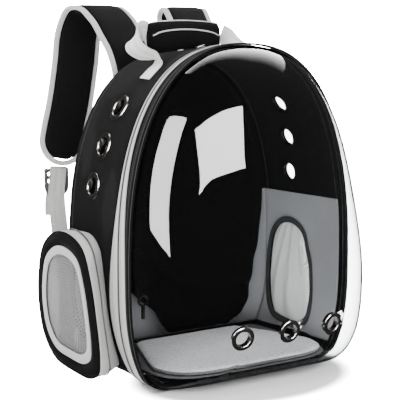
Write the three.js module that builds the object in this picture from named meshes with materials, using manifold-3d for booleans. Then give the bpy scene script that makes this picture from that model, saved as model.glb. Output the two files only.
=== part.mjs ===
// A bubble pet carrier backpack, in millimetres, +Z up, +X to the right and -Y to the front.
// The origin is the centre of the base panel's flat underside, on which the carrier stands.
// A black fabric wall arches over the cabin from one base corner to the other. A deep clear dome closes its
// mouth at the front, held by a binding and a zip, and a padded panel closes its back. Each side has three
// metal eyelets and a zipped pouch with a mesh window, and two padded straps stand up behind the back.

import * as THREE from 'three';
import { mergeVertices } from 'three/addons/utils/BufferGeometryUtils.js';
import Module from 'manifold-3d';

const wasm = await Module();
wasm.setup();

// Overall sizes
const DEPTH = 164; // fabric body, mouth to back
const GAP = 0.3; // between pieces that touch
const WALL = 4; // padded fabric wall
const MOUTH = { bottom: 4, top: 420, widestAt: 130, halfWidth: 167, baseHalfWidth: 138 };
const BACK = { bottom: 4, top: 410, widestAt: 130, halfWidth: 161, baseHalfWidth: 133 };
const FOOT_CORNER = 18; // radius of the arch's two foot corners
const ARCH_TOP_POWER = 2.6; // how square the shoulders are, upwards
const ARCH_SIDE_POWER = 2.35; // and sideways
const ARCH_FOOT_POWER = 2.7; // how late the sides draw in towards the base
const MOUTH_Y = -DEPTH / 2;
const BACK_Y = DEPTH / 2;
const BACK_PANEL = 6; // thickness
const BASE_PANEL = 7;
const WALL_BACK_Y = BACK_Y - BACK_PANEL - GAP;

// Dome and its rim
const DOME_DEPTH = 109;
const DOME_WALL = 2;
const DOME_CENTRE_Z = 135; // height of its foremost point
const DOME_SIDE_POWER = 2.6; // 2 is round, more is boxier
const DOME_TOP = { draw: 1.75, forward: 2.0 }; // the powers of its slope above that point
const DOME_FOOT = { baseHalfWidth: 95, power: 4.5, spread: 6 }; // its lower corners are rounder than the mouth's
const BINDING_WIDTH = 13.5;
const BINDING_THICK = 2.2;
const DOME_TUCK = 1; // from the mouth to the dome's hidden edge

// Door zip, along the arch
const TAPE_THICK = 1.2;
const INNER_TAPE = { wide: 16, narrow: 5.5, low: 110, high: 340 }; // it narrows between these two heights
const COIL_WIDTH = 3.4;
const COIL_THICK = 2.2;
const OUTER_TAPE_NARROW = 2.5;
const OUTER_TAPE_WIDE = 22;
const OUTER_TAPE_WIDEST_Z = 112;
const OUTER_TAPE_SPREAD = 90; // height over which it widens
const SLIDER = { length: 12, width: 8.5, thick: 3.2, x: -46 };

// Eyelets: the side ones have a flange outside and a barrel through the wall, the front ones a washer inside too
const SIDE_EYELET = { hole: 11.5, barrel: 13, flange: 18, thick: 1.8 };
const SIDE_EYELET_PLACES = [{ y: 1, z: 342 }, { y: 8, z: 295 }, { y: 17, z: 245 }];
const FRONT_EYELET = { hole: 9.5, barrel: 10.6, flange: 15, thick: 1.6, z: 77, spacing: 68 };

// Side pouches: outline of the zipped face as shares of its half sizes, from the front bottom round by the front
const POUCH = { centreY: 13, centreZ: 102, halfDepth: 72, halfHeight: 88, faceX: 206, frontSet: 8, footSet: 5 };
const POUCH_OUTLINE = [
  { depth: -1.0, height: -0.62 }, { depth: -0.93, height: -0.1 }, { depth: -0.8, height: 0.42 },
  { depth: -0.58, height: 0.83 }, { depth: -0.12, height: 1.0 }, { depth: 0.36, height: 0.97 },
  { depth: 0.76, height: 0.74 }, { depth: 0.96, height: 0.3 }, { depth: 1.0, height: -0.14 },
  { depth: 0.86, height: -0.6 }, { depth: 0.5, height: -0.9 }, { depth: -0.1, height: -0.99 },
  { depth: -0.68, height: -1.0 }, { depth: -0.95, height: -0.88 },
];
const POUCH_FOOT = { depth: 0.76, height: 0.94, shift: 6 }; // where the gusset meets the wall
const GUSSET_THICK = 1.6;
const POUCH_FACE = { thick: 3, opening: 0.74 };
const POUCH_TRIM = { thick: 1.6, outer: 0.8, inner: 0.68 };
const POUCH_MESH = { thick: 1.2, reach: 0.733 };
const POUCH_COIL = { width: 3.6, proud: 1.4, at: 0.55 };
const WINDOW = { depth: 0.68, height: 0.82, shift: 6 }; // hole through the wall, as shares of the pouch outline
const WINDOW_TRIM = { thick: 1.2, reach: 0.06, off: 1.3 };
const WINDOW_MESH = { thick: 1.0, slack: 14 };

// Inside
const LINING = { thick: 1.0, top: 215, foot: 22, off: 0.5 };
const FLOOR_BOARD = { bottom: BASE_PANEL + GAP, top: 19.7, clear: 3.5, back: 68, halfWidth: 132 };
const FLOOR_PAD = { thick: 8, inset: 9, corner: 46, back: 50, backHalfWidth: 84 };
const BACK_BOARD = 9; // thickness
const BOARD_SHAPE = [ // its rounded foot has slipped a little to the right
  { height: 30, halfWidth: 48, shift: 24, front: 51 }, { height: 42, halfWidth: 66, shift: 32, front: 54.5 },
  { height: 58, halfWidth: 77, shift: 35, front: 58 }, { height: 84, halfWidth: 95, shift: 24, front: 61.5 },
  { height: 122, halfWidth: 121, shift: 8, front: 64 }, { height: 170, halfWidth: 138, shift: 1, front: 65 },
  { height: 238, halfWidth: 142, shift: 0, front: 65 }, { height: 290, halfWidth: 133, shift: 0, front: 65 },
  { height: 330, halfWidth: 116, shift: 0, front: 65 }, { height: 362, halfWidth: 92, shift: 0, front: 65 },
  { height: 384, halfWidth: 65, shift: 0, front: 65 }, { height: 396, halfWidth: 38, shift: 0, front: 65 },
];

// Shoulder straps, for the right side; the left one mirrors it
const STRAP = { width: 70, thick: 10, edge: 7, edgeThick: 6, steps: 19 };
const STRAP_PATH = [
  [50, 87.4, 366], [53, 89, 390], [56, 97, 412], [59, 114, 433], [62, 132, 453], [68, 156, 468], [75, 180, 464],
  [82, 193, 436], [89, 191.5, 394], [98, 192, 342], [108, 194, 296], [117, 190, 254],
];
const WEBBING = { width: 25, thick: 1.8 };
const WEBBING_PATH = [[118, 192.5, 252.8], [119.5, 192.6, 236], [122, 192, 214], [127, 178, 186], [131, 158, 140], [135, 118, 76],
  [136.5, 92, 44], [137, 84.2, 30], [137, 83.5, 18]];
const TAIL_PATH = [[121.5, 200, 216], [124, 199, 200], [126.5, 194, 184]];
const BUCKLE = { width: 36, height: 40, thick: 4.5, slot: 5, bar: 5 };
const BUCKLE_AT = [119.5, 196.3, 230];

// Carry handle, which lies pushed over to the left, so that its webbing is slack and twisted there
const GRIP = { length: 104, height: 34, thick: 17, x: -33, y: -2, z: 433.5 };
const HANDLE_RIGHT = [
  { at: [24, -2, 434], across: [0, 0, 1] }, { at: [33, -4, 430], across: [0.1, 0.1, 1] },
  { at: [50, -8, 421], across: [0.4, 0.8, 0.7] }, { at: [68, -13, 413], across: [0.2, 1, 0.3] },
  { y: -18, z: 398, out: 5, across: [0.1, 1, 0] }, { y: -21, z: 388, out: 2.9, across: [0.1, 1, 0] },
  { y: -22, z: 377, out: 2.6, across: [0.1, 1, 0] },
];
const HANDLE_LEFT = [
  { at: [-88.5, -3, 436], across: [0, 0, 1] }, { at: [-97, -5, 438], across: [-0.1, -0.2, 1] },
  { at: [-108, -9, 431], across: [0.3, -0.5, 1] }, { at: [-113, -14, 419], across: [0.5, -0.8, 0.6] },
  { at: [-104, -19, 410], across: [0.2, -1, 0.7] }, { at: [-91, -22, 406], across: [0, -1, 0.4] },
  { at: [-84, -24, 401], across: [-0.2, -1, -0.1] }, { y: -24, z: 393, out: 3.4, across: [-0.1, -1, 0] },
  { y: -23, z: 387, out: 2.4, across: [0, -1, 0] }, { y: -22, z: 377, out: 2.2, across: [0, -1, 0] },
];

// Safety tether inside
const TETHER = { width: 15, thick: 1.6, path: [[-72, 63.2, 150], [-71, 59, 120], [-69, 50.5, 90.1]] };
const CLIP = { ring: 7, wire: 1.8, length: 26, at: [-69, 50.5, 81] };

const COLOURS = {
  cloth: 0x1b1b1c, grey: 0xc9c9c6, greyShade: 0xa9a9a6, mesh: 0x9a9a98, lining: 0x5c5d60, dark: 0x0f0f10,
  pad: 0xe6e7ea, board: 0x6d6f74, metal: 0x8a8780, clear: 0xe8eef2, coil: 0x55554f,
};

function material(colour, roughness = 0.85, metalness = 0, opacity = 1) {
  return new THREE.MeshStandardMaterial({ color: colour, roughness, metalness, opacity, transparent: opacity < 1 });
}

const CLOTH = material(COLOURS.cloth);
const GREY = material(COLOURS.grey);
const GREY_SHADE = material(COLOURS.greyShade);
const MESH = material(COLOURS.mesh);
const LINING_CLOTH = material(COLOURS.lining);
const PLASTIC = material(COLOURS.dark, 0.4);
const PAD = material(COLOURS.pad, 0.95);
const BOARD = material(COLOURS.board, 0.9);
const METAL = material(COLOURS.metal, 0.3, 1);
const CLEAR = material(COLOURS.clear, 0.05, 0, 0.25);
const COIL = material(COLOURS.coil, 0.5);

const vector = (x, y, z) => new THREE.Vector3(x, y, z);
const mix = THREE.MathUtils.lerp;

// A closed solid through rings of points. A ring of one point is an apex, and looped joins the last ring to the first.
function loft(rings, looped = false) {
  const points = [];
  const starts = rings.map((ring) => {
    const start = points.length;
    points.push(...ring);
    return start;
  });
  const faces = [];
  const last = looped ? rings.length : rings.length - 1;
  for (let r = 0; r < last; r++) {
    const next = (r + 1) % rings.length;
    const count = Math.max(rings[r].length, rings[next].length);
    for (let i = 0; i < count; i++) {
      const j = (i + 1) % count;
      const here = rings[r].length > 1 ? [starts[r] + i, starts[r] + j] : [starts[r], starts[r]];
      const there = rings[next].length > 1 ? [starts[next] + i, starts[next] + j] : [starts[next], starts[next]];
      if (here[0] !== here[1]) faces.push(here[0], here[1], there[1]);
      if (there[0] !== there[1]) faces.push(here[0], there[1], there[0]);
    }
  }
  if (!looped) {
    cap(rings[0], starts[0], true);
    cap(rings[rings.length - 1], starts[rings.length - 1], false);
  }
  function cap(ring, start, turned) {
    if (ring.length < 3) return;
    const middle = points.length;
    points.push(ring.reduce((sum, p) => sum.add(p), vector(0, 0, 0)).divideScalar(ring.length));
    ring.forEach((_, i) => {
      const j = (i + 1) % ring.length;
      faces.push(middle, start + (turned ? j : i), start + (turned ? i : j));
    });
  }
  return geometryOf(points, faces);
}

function geometryOf(points, faces) {
  let volume = 0;
  for (let i = 0; i < faces.length; i += 3) {
    volume += points[faces[i]].dot(points[faces[i + 1]].clone().cross(points[faces[i + 2]]));
  }
  if (volume < 0) faces.reverse();
  const geometry = new THREE.BufferGeometry().setFromPoints(points);
  geometry.setIndex(faces);
  return geometry;
}

// Joining and cutting
function solidOf(geometry) {
  const bare = geometry.index ? geometry.toNonIndexed() : geometry.clone();
  for (const name of Object.keys(bare.attributes)) if (name !== 'position') bare.deleteAttribute(name);
  const merged = mergeVertices(bare, 1e-3);
  return new wasm.Manifold(new wasm.Mesh({
    numProp: 3,
    vertProperties: merged.attributes.position.array,
    triVerts: new Uint32Array(merged.index.array),
  }));
}

function geometryFrom(solid) {
  const mesh = solid.getMesh();
  return new THREE.BufferGeometry()
    .setAttribute('position', new THREE.BufferAttribute(mesh.vertProperties, 3))
    .setIndex(new THREE.BufferAttribute(mesh.triVerts, 1));
}

function cut(geometry, tools) {
  return geometryFrom(tools.reduce((solid, tool) => solid.subtract(solidOf(tool)), solidOf(geometry)));
}

function mirrored(geometry) {
  const turned = geometry.clone().applyMatrix4(new THREE.Matrix4().makeScale(-1, 1, 1));
  const count = turned.attributes.position.count;
  const faces = turned.index ? Array.from(turned.index.array) : Array.from({ length: count }, (_, i) => i);
  turned.setIndex(faces.reverse());
  return turned;
}

// The arch: half its width at a height, and its line from the right foot over the top to the left foot
function halfWidthAt(z, arch) {
  if (z >= arch.widestAt) {
    const rise = Math.min(1, (z - arch.widestAt) / (arch.top - arch.widestAt));
    return arch.halfWidth * (1 - rise ** ARCH_TOP_POWER) ** (1 / ARCH_SIDE_POWER);
  }
  return sideAt(z, arch, arch.baseHalfWidth, ARCH_FOOT_POWER) - cornerDraw(z, arch);
}

function sideAt(z, arch, baseHalfWidth, power) {
  const drop = Math.min(1, (arch.widestAt - z) / (arch.widestAt - arch.bottom));
  const pull = 1 - (baseHalfWidth / arch.halfWidth) ** ARCH_SIDE_POWER;
  return arch.halfWidth * (1 - pull * drop ** power) ** (1 / ARCH_SIDE_POWER);
}

function cornerDraw(z, arch) {
  const below = FOOT_CORNER - Math.min(FOOT_CORNER, Math.max(0, z - arch.bottom));
  return FOOT_CORNER - Math.sqrt(FOOT_CORNER ** 2 - below ** 2);
}

function archLine(arch, inset = 0) {
  const FOOT_STEPS = 12;
  const TOP_STEPS = 28;
  const right = [];
  for (let i = 0; i < FOOT_STEPS; i++) {
    const z = mix(arch.bottom, arch.widestAt, (i / FOOT_STEPS) ** 1.7);
    right.push(vector(halfWidthAt(z, arch), 0, z));
  }
  for (let i = 0; i < TOP_STEPS; i++) {
    const turn = (Math.PI / 2) * (i / TOP_STEPS);
    right.push(vector(arch.halfWidth * Math.cos(turn) ** (2 / ARCH_SIDE_POWER), 0,
      arch.widestAt + (arch.top - arch.widestAt) * Math.sin(turn) ** (2 / ARCH_TOP_POWER)));
  }
  const left = right.map((p) => vector(-p.x, 0, p.z)).reverse();
  return [...right, vector(0, 0, arch.top), ...left].map((p) => moved(p, arch, inset));
}

// A point of the arch drawn in towards its middle by a share of its size that gives the inset
function moved(p, arch, inset) {
  const middle = (arch.top + arch.bottom) / 2;
  return vector(p.x * (1 - inset / arch.halfWidth), p.y,
    middle + (p.z - middle) * (1 - inset / (arch.top - middle)));
}

function withNormals(points, closed) {
  const count = points.length;
  return points.map((p, i) => {
    const before = points[closed ? (i + count - 1) % count : Math.max(0, i - 1)];
    const after = points[closed ? (i + 1) % count : Math.min(count - 1, i + 1)];
    const along = after.clone().sub(before).normalize();
    return { at: p, out: vector(along.z, 0, -along.x) };
  });
}

// Evenly spaced places along the arch, each with the direction out of it
function archStations(arch, count) {
  const line = new THREE.CatmullRomCurve3(archLine(arch));
  line.arcLengthDivisions = 800;
  const stations = withNormals(line.getSpacedPoints(count), false);
  stations[0].out = vector(1, 0, 0);
  stations[count].out = vector(-1, 0, 0);
  return stations;
}

// The same line closed along the base
function closedStations(arch, count, inset = 0) {
  const line = new THREE.CatmullRomCurve3(
    [...archLine(arch, inset), ...[-0.9, -0.5, 0, 0.5, 0.9].map((share) => moved(
      vector(share * (arch.baseHalfWidth - FOOT_CORNER), 0, arch.bottom), arch, inset))],
    true, 'centripetal');
  line.arcLengthDivisions = 1000;
  return withNormals(line.getSpacedPoints(count).slice(0, count), true);
}

function archAtDepth(y) {
  const share = (y - MOUTH_Y) / DEPTH;
  const arch = {};
  for (const size of Object.keys(MOUTH)) arch[size] = mix(MOUTH[size], BACK[size], share);
  return arch;
}

const wallHalfWidth = (y, z) => halfWidthAt(z, archAtDepth(y));

// Out of the wall's surface on the right, at a depth and height
function wallNormal(y, z) {
  const step = 2;
  const rise = (wallHalfWidth(y, z + step) - wallHalfWidth(y, z - step)) / (2 * step);
  const run = (wallHalfWidth(y + step, z) - wallHalfWidth(y - step, z)) / (2 * step);
  return vector(1, -run, -rise).normalize();
}

// A band round the arch, from one depth to another, between two distances out of the wall's surface
const ARCH_STEPS = 40;

function archBand(frontAt, backAt, inner, outer, inFrontOf = 0) {
  const front = archStations(MOUTH, ARCH_STEPS);
  const back = archStations(BACK, ARCH_STEPS);
  const place = (i, y, out) => {
    const share = (y - MOUTH_Y) / DEPTH;
    const p = front[i].at.clone().lerp(back[i].at, share);
    const normal = front[i].out.clone().lerp(back[i].out, share).normalize();
    return p.addScaledVector(normal, out).setY(y + inFrontOf);
  };
  return loft(front.map(({ at }, i) => {
    const [y0, y1] = [frontAt(at.z), backAt(at.z)];
    return [place(i, y0, inner), place(i, y1, inner), place(i, y1, outer), place(i, y0, outer)];
  }));
}

// Fabric body
const DISC_SIDES = 12;

function alongNormal(geometry, at, normal) {
  const turn = new THREE.Quaternion().setFromUnitVectors(vector(0, 1, 0), normal);
  return geometry.clone().applyQuaternion(turn).translate(at.x, at.y, at.z);
}

function eyeletSeats() {
  return SIDE_EYELET_PLACES.flatMap(({ y, z }, i) => [1, -1].map((side) => {
    const normal = wallNormal(y, z);
    const at = vector(wallHalfWidth(y, z), y, z);
    at.x *= side;
    normal.x *= side;
    return { side, row: i + 1, at, normal };
  }));
}

function windowTool(side) {
  const outline = pouchOutline(WINDOW.depth, WINDOW.height, WINDOW.shift);
  const shape = new THREE.Shape(outline.map(({ y, z }) => new THREE.Vector2(y, z)));
  const tool = new THREE.ExtrudeGeometry(shape, { depth: 90, bevelEnabled: false });
  // The outline's plane becomes the wall's: its own x is the carrier's y, its own y the carrier's z
  tool.applyMatrix4(new THREE.Matrix4().makeBasis(vector(0, 1, 0), vector(0, 0, 1), vector(1, 0, 0)));
  tool.translate(side > 0 ? 110 : -200, 0, 0);
  return tool;
}

function sideWall() {
  const wall = archBand(() => MOUTH_Y, () => WALL_BACK_Y, -WALL, 0);
  const holes = eyeletSeats().map(({ at, normal }) => alongNormal(
    new THREE.CylinderGeometry(SIDE_EYELET.barrel + GAP, SIDE_EYELET.barrel + GAP, 30, DISC_SIDES), at, normal));
  return cut(wall, [...holes, windowTool(1), windowTool(-1)]);
}

function backPanel() {
  const EDGE_ROUND = 2;
  const ring = (y, inset) => closedStations(BACK, ARCH_STEPS, inset).map(({ at }) => vector(at.x, y, at.z));
  return loft([ring(BACK_Y - BACK_PANEL, 0), ring(BACK_Y - EDGE_ROUND, 0), ring(BACK_Y, EDGE_ROUND)]);
}

function basePanel() {
  const half = Math.min(MOUTH.baseHalfWidth, BACK.baseHalfWidth) - FOOT_CORNER - WALL - 2;
  const depth = WALL_BACK_Y - MOUTH_Y;
  return new THREE.BoxGeometry(2 * half, depth, BASE_PANEL).translate(0, MOUTH_Y + depth / 2, BASE_PANEL / 2);
}

// Dome: each ring is the mouth's outline drawn in towards the foremost point as it comes forward
const DOME_SIDES = 40;
const DOME_RINGS = 7;

// How far forward the dome stands for a share of the way out to its rim, in a direction that rises by a share
function domeForward(share, rise) {
  const up = THREE.MathUtils.smoothstep(rise, -0.1, 0.8);
  const draw = mix(DOME_SIDE_POWER, DOME_TOP.draw, up);
  const forward = mix(DOME_SIDE_POWER, DOME_TOP.forward, up);
  return Math.max(0, 1 - share ** draw) ** (1 / forward);
}

// What share of the way to a point of the mouth's outline the rounder outline of the dome's front lies
function rounderShare(at) {
  let [low, high] = [0.5, 1];
  const inside = (share) => {
    const z = DOME_CENTRE_Z + (at.z - DOME_CENTRE_Z) * share;
    return z >= MOUTH.widestAt || Math.abs(at.x) * share <= sideAt(z, MOUTH, DOME_FOOT.baseHalfWidth, DOME_FOOT.power);
  };
  if (inside(1)) return 1;
  for (let i = 0; i < 20; i++) {
    const middle = (low + high) / 2;
    if (inside(middle)) low = middle;
    else high = middle;
  }
  return low;
}

const roundedShare = (share, rounder) => share * mix(rounder, 1, share ** DOME_FOOT.spread);

function domeRing(share, inset) {
  return closedStations(MOUTH, DOME_SIDES, inset + GAP).map(({ at }) => {
    const rise = (at.z - DOME_CENTRE_Z) / Math.hypot(at.x, at.z - DOME_CENTRE_Z);
    const forward = (DOME_DEPTH - inset) * domeForward(share, rise);
    const reach = roundedShare(share, rounderShare(at));
    return vector(at.x * reach, MOUTH_Y - Math.max(forward, DOME_TUCK), DOME_CENTRE_Z + (at.z - DOME_CENTRE_Z) * reach);
  });
}

function domeSurface(x, z) {
  const outline = closedStations(MOUTH, 240, GAP);
  const away = vector(x, 0, z - DOME_CENTRE_Z);
  const bearing = away.clone().normalize();
  const edge = outline.reduce((best, { at }) => {
    const spoke = vector(at.x, 0, at.z - DOME_CENTRE_Z);
    const match = spoke.clone().normalize().dot(bearing);
    return match > best.match ? { match, reach: spoke.length(), at } : best;
  }, { match: -1, reach: 1, at: vector(0, 0, 0) });
  const rounder = rounderShare(edge.at);
  let share = Math.min(1, away.length() / edge.reach);
  for (let i = 0; i < 20; i++) share = Math.min(1, away.length() / edge.reach / mix(rounder, 1, share ** DOME_FOOT.spread));
  return vector(x, MOUTH_Y - DOME_DEPTH * domeForward(share, bearing.z), z);
}

function frontSeats() {
  return [-1, 0, 1].map((place) => {
    const x = place * FRONT_EYELET.spacing;
    const at = domeSurface(x, FRONT_EYELET.z);
    const step = 3;
    const across = domeSurface(x + step, FRONT_EYELET.z).sub(domeSurface(x - step, FRONT_EYELET.z));
    const up = domeSurface(x, FRONT_EYELET.z + step).sub(domeSurface(x, FRONT_EYELET.z - step));
    return { place, at, normal: across.cross(up).normalize() };
  });
}

function dome() {
  const outer = [];
  const inner = [];
  for (let i = 0; i < DOME_RINGS; i++) {
    const share = Math.cos((Math.PI / 2) * (i / DOME_RINGS)) ** (2 / DOME_SIDE_POWER);
    outer.push(domeRing(share, 0));
    inner.push(domeRing(share, DOME_WALL));
  }
  const nose = [vector(0, MOUTH_Y - DOME_DEPTH, DOME_CENTRE_Z)];
  const innerNose = [vector(0, MOUTH_Y - DOME_DEPTH + DOME_WALL, DOME_CENTRE_Z)];
  const shell = loft([innerNose, ...inner.reverse(), ...outer, nose]);
  const holes = frontSeats().map(({ at, normal }) => alongNormal(
    new THREE.CylinderGeometry(FRONT_EYELET.barrel + GAP, FRONT_EYELET.barrel + GAP, 24, DISC_SIDES), at, normal));
  return cut(shell, holes);
}

function domeBinding() {
  return loft(closedStations(MOUTH, DOME_SIDES).map(({ at, out }) => {
    const inner = at.clone();
    const outer = at.clone().addScaledVector(out, BINDING_THICK);
    return [[inner, -GAP], [inner, -BINDING_WIDTH], [outer, -BINDING_WIDTH + 1], [outer, -GAP]]
      .map(([p, y]) => vector(p.x, MOUTH_Y + y, p.z));
  }), true);
}

// Door zip, lying on the wall along its front edge
const COIL_FRONT = MOUTH_Y + INNER_TAPE.wide + GAP;
const OUTER_TAPE_FRONT = COIL_FRONT + COIL_WIDTH + GAP;

function innerTapeFront(z) {
  const up = THREE.MathUtils.smoothstep(z, INNER_TAPE.low, INNER_TAPE.high);
  return COIL_FRONT - mix(INNER_TAPE.wide, INNER_TAPE.narrow, up);
}

function outerTapeBack(z) {
  const away = (z - OUTER_TAPE_WIDEST_Z) / OUTER_TAPE_SPREAD;
  return OUTER_TAPE_FRONT + mix(OUTER_TAPE_NARROW, OUTER_TAPE_WIDE, Math.exp(-away * away));
}

// The slider stops near the top of the arch, on the coil
function zipSlider() {
  const { length, width, thick } = SLIDER;
  const shape = new THREE.Shape([[-0.5, -0.3], [0.1, -0.5], [0.5, -0.32], [0.5, 0.32], [0.1, 0.5], [-0.5, 0.3]]
    .map(([along, across]) => new THREE.Vector2(along * length, across * width)));
  const body = new THREE.ExtrudeGeometry(shape, { depth: thick, bevelEnabled: false });
  const seat = archStations(archAtDepth(COIL_FRONT + COIL_WIDTH / 2), 400)
    .reduce((best, station) => (Math.abs(station.at.x - SLIDER.x) < Math.abs(best.at.x - SLIDER.x) ? station : best));
  const lift = COIL_THICK + 2 * GAP;
  const along = vector(0, 1, 0).cross(seat.out);
  body.applyMatrix4(new THREE.Matrix4().makeBasis(along, vector(0, 1, 0), seat.out.clone()));
  const at = seat.at.clone().addScaledVector(seat.out, lift);
  return body.translate(at.x, COIL_FRONT + COIL_WIDTH / 2, at.z);
}

// Eyelets: a turned spool, its hole along its axis and its outer flange just off the surface
function eyelet(size, throughWall, washer) {
  const inside = -throughWall - GAP;
  const profile = [
    [size.hole, inside - (washer ? size.thick : 0.6)], [size.hole + 0.4, GAP + size.thick],
    [mix(size.hole, size.flange, 0.6), GAP + size.thick], [size.flange, GAP + size.thick * 0.3],
    [size.flange, GAP], [size.barrel, GAP], [size.barrel, inside],
  ];
  if (washer) profile.push([washer, inside], [washer, inside - size.thick]);
  else profile.push([size.barrel, inside - 0.6]);
  const points = profile.reverse().map(([r, y]) => new THREE.Vector2(r, y));
  return new THREE.LatheGeometry([...points, points[0].clone()], DISC_SIDES);
}

// Side pouch, made on the right and mirrored for the left
const POUCH_STEPS = 20;

function pouchOutline(depthShare, heightShare, shift = 0) {
  const line = new THREE.CatmullRomCurve3(POUCH_OUTLINE.map(({ depth, height }) => vector(
    0, POUCH.centreY + shift + depth * depthShare * POUCH.halfDepth,
    POUCH.centreZ + height * heightShare * POUCH.halfHeight)), true);
  return line.getSpacedPoints(POUCH_STEPS).slice(0, POUCH_STEPS);
}

// The face stands out less at its front and foot
function faceX(y, z) {
  const forward = (POUCH.centreY - y) / POUCH.halfDepth;
  const down = (POUCH.centreZ - z) / POUCH.halfHeight;
  return POUCH.faceX - POUCH.frontSet * (1 + forward) / 2 - POUCH.footSet * (1 + down) / 2;
}

const onFace = (share, proud) => pouchOutline(share, share).map(({ y, z }) => vector(faceX(y, z) + proud, y, z));

const onWall = (depthShare, heightShare, shift, proud) => pouchOutline(depthShare, heightShare, shift)
  .map(({ y, z }) => vector(wallHalfWidth(y, z), y, z).addScaledVector(wallNormal(y, z), proud));

// Rings of points taken the other way: one section for each place round the outline
const sections = (rings) => rings[0].map((_, i) => rings.map((ring) => ring[i]));

function gussetLine(share, draw) {
  const foot = onWall(POUCH_FOOT.depth, POUCH_FOOT.height, POUCH_FOOT.shift, 0);
  const face = onFace(1, -POUCH_FACE.thick - GAP);
  const middle = vector(0, POUCH.centreY, POUCH.centreZ);
  const drawn = (p) => p.clone().addScaledVector(middle.clone().setX(p.x).sub(p).normalize(), draw);
  return foot.map((p, i) => {
    const q = drawn(p);
    q.x = wallHalfWidth(q.y, q.z) + 2 * GAP;
    return q.lerp(drawn(face[i]), share);
  });
}

const pouchGusset = () => loft(sections([
  gussetLine(0, 0), gussetLine(0.5, -2), gussetLine(1, 0),
  gussetLine(1, GUSSET_THICK), gussetLine(0.5, GUSSET_THICK - 2), gussetLine(0, GUSSET_THICK),
]), true);

function pouchCoil() {
  const reach = POUCH_COIL.width / 2 / (POUCH.faceX - MOUTH.halfWidth);
  const [near, far] = [POUCH_COIL.at - reach, POUCH_COIL.at + reach];
  const under = -2 - GAP;
  return loft(sections([
    gussetLine(near, under), gussetLine(far, under),
    gussetLine(far, under - POUCH_COIL.proud), gussetLine(near, under - POUCH_COIL.proud),
  ]), true);
}

const ringPanel = (outerBack, outerFront, innerFront, innerBack) =>
  loft(sections([outerBack, outerFront, innerFront, innerBack]), true);

const pouchFace = () => ringPanel(
  onFace(1, -POUCH_FACE.thick), onFace(0.985, 0), onFace(POUCH_FACE.opening, 0), onFace(POUCH_FACE.opening, -POUCH_FACE.thick));

const pouchTrim = () => ringPanel(
  onFace(POUCH_TRIM.outer, GAP), onFace(POUCH_TRIM.outer - 0.01, GAP + POUCH_TRIM.thick),
  onFace(POUCH_TRIM.inner, GAP + POUCH_TRIM.thick), onFace(POUCH_TRIM.inner, GAP));

function pouchMesh() {
  const back = -POUCH_FACE.thick + 0.4;
  const middle = (proud) => [vector(faceX(POUCH.centreY, POUCH.centreZ) + proud, POUCH.centreY, POUCH.centreZ)];
  return loft([middle(back), onFace(POUCH_MESH.reach, back), onFace(POUCH_MESH.reach, back + POUCH_MESH.thick),
    middle(back + POUCH_MESH.thick)]);
}

const INNER_FACE = -WALL - LINING.off - LINING.thick - WINDOW_TRIM.off; // of the lined wall, with a gap on it

const windowTrim = () => ringPanel(
  onWall(WINDOW.depth + WINDOW_TRIM.reach, WINDOW.height + WINDOW_TRIM.reach, WINDOW.shift, INNER_FACE),
  onWall(WINDOW.depth + WINDOW_TRIM.reach, WINDOW.height + WINDOW_TRIM.reach, WINDOW.shift, INNER_FACE - WINDOW_TRIM.thick),
  onWall(WINDOW.depth - 0.04, WINDOW.height - 0.03, WINDOW.shift, INNER_FACE - WINDOW_TRIM.thick),
  onWall(WINDOW.depth - 0.04, WINDOW.height - 0.03, WINDOW.shift, INNER_FACE));

// The window's mesh is cut large, so it hangs into the cabin in soft folds
function windowMesh() {
  const ring = (share, sag, thick) => onWall(WINDOW.depth * share, WINDOW.height * share, WINDOW.shift, -WALL / 2 - sag - thick)
    .map((p, i) => p.setX(p.x + (share < 0.9 ? 2.2 * Math.sin(i * 1.9) : 0)));
  const middle = (thick) => [vector(wallHalfWidth(POUCH.centreY, POUCH.centreZ) - WALL / 2 - WINDOW_MESH.slack - thick,
    POUCH.centreY, POUCH.centreZ)];
  const { thick, slack } = WINDOW_MESH;
  return loft([middle(0), ring(0.6, slack * 0.8, 0), ring(0.985, 0, 0), ring(0.985, 0, thick), ring(0.6, slack * 0.8, thick),
    middle(thick)]);
}

// Inside: the lining covers both side walls and the back wall up to one height
function lowerLining() {
  const inner = -WALL - LINING.off - LINING.thick;
  const outer = -WALL - LINING.off;
  const backFace = WALL_BACK_Y - GAP;
  const arch = archBand(() => MOUTH_Y + 1, () => backFace, inner, outer);
  const outline = closedStations(BACK, ARCH_STEPS, WALL + LINING.off + 0.5).map(({ at }) => vector(at.x, backFace, at.z));
  const sheet = loft([outline.map((p) => p.clone().setY(backFace - LINING.thick)), outline]);
  const height = LINING.top - LINING.foot;
  const lowPart = new THREE.BoxGeometry(500, 500, height).translate(0, 0, LINING.foot + height / 2);
  const whole = solidOf(arch).add(solidOf(sheet)).intersect(solidOf(lowPart));
  return geometryFrom(whole.subtract(solidOf(windowTool(1))).subtract(solidOf(windowTool(-1))));
}

// A solid through rings whose ends are thin and bent, closed by quads between each ring's two runs
function bridged(rings) {
  const count = rings[0].length;
  const points = rings.flat();
  const faces = [];
  const quad = (a, b, c, d) => faces.push(a, b, c, a, c, d);
  for (let r = 0; r + 1 < rings.length; r++) {
    for (let i = 0; i < count; i++) {
      const j = (i + 1) % count;
      quad(r * count + i, r * count + j, (r + 1) * count + j, (r + 1) * count + i);
    }
  }
  const top = (rings.length - 1) * count;
  for (let i = 0; i < count / 2 - 1; i++) {
    const [across, next] = [count - 1 - i, count - 2 - i];
    quad(i, across, next, i + 1);
    quad(top + i, top + i + 1, top + next, top + across);
  }
  return geometryOf(points, faces);
}

// The front of the floor at a height: clear of the dome's inside on the middle line
const domeInside = (z) => domeSurface(0, z - DOME_WALL - FLOOR_BOARD.clear).y + DOME_WALL + FLOOR_BOARD.clear;

// An outline with soft front corners, which narrows towards its back
const FLOOR_STEPS = 30;

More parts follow.
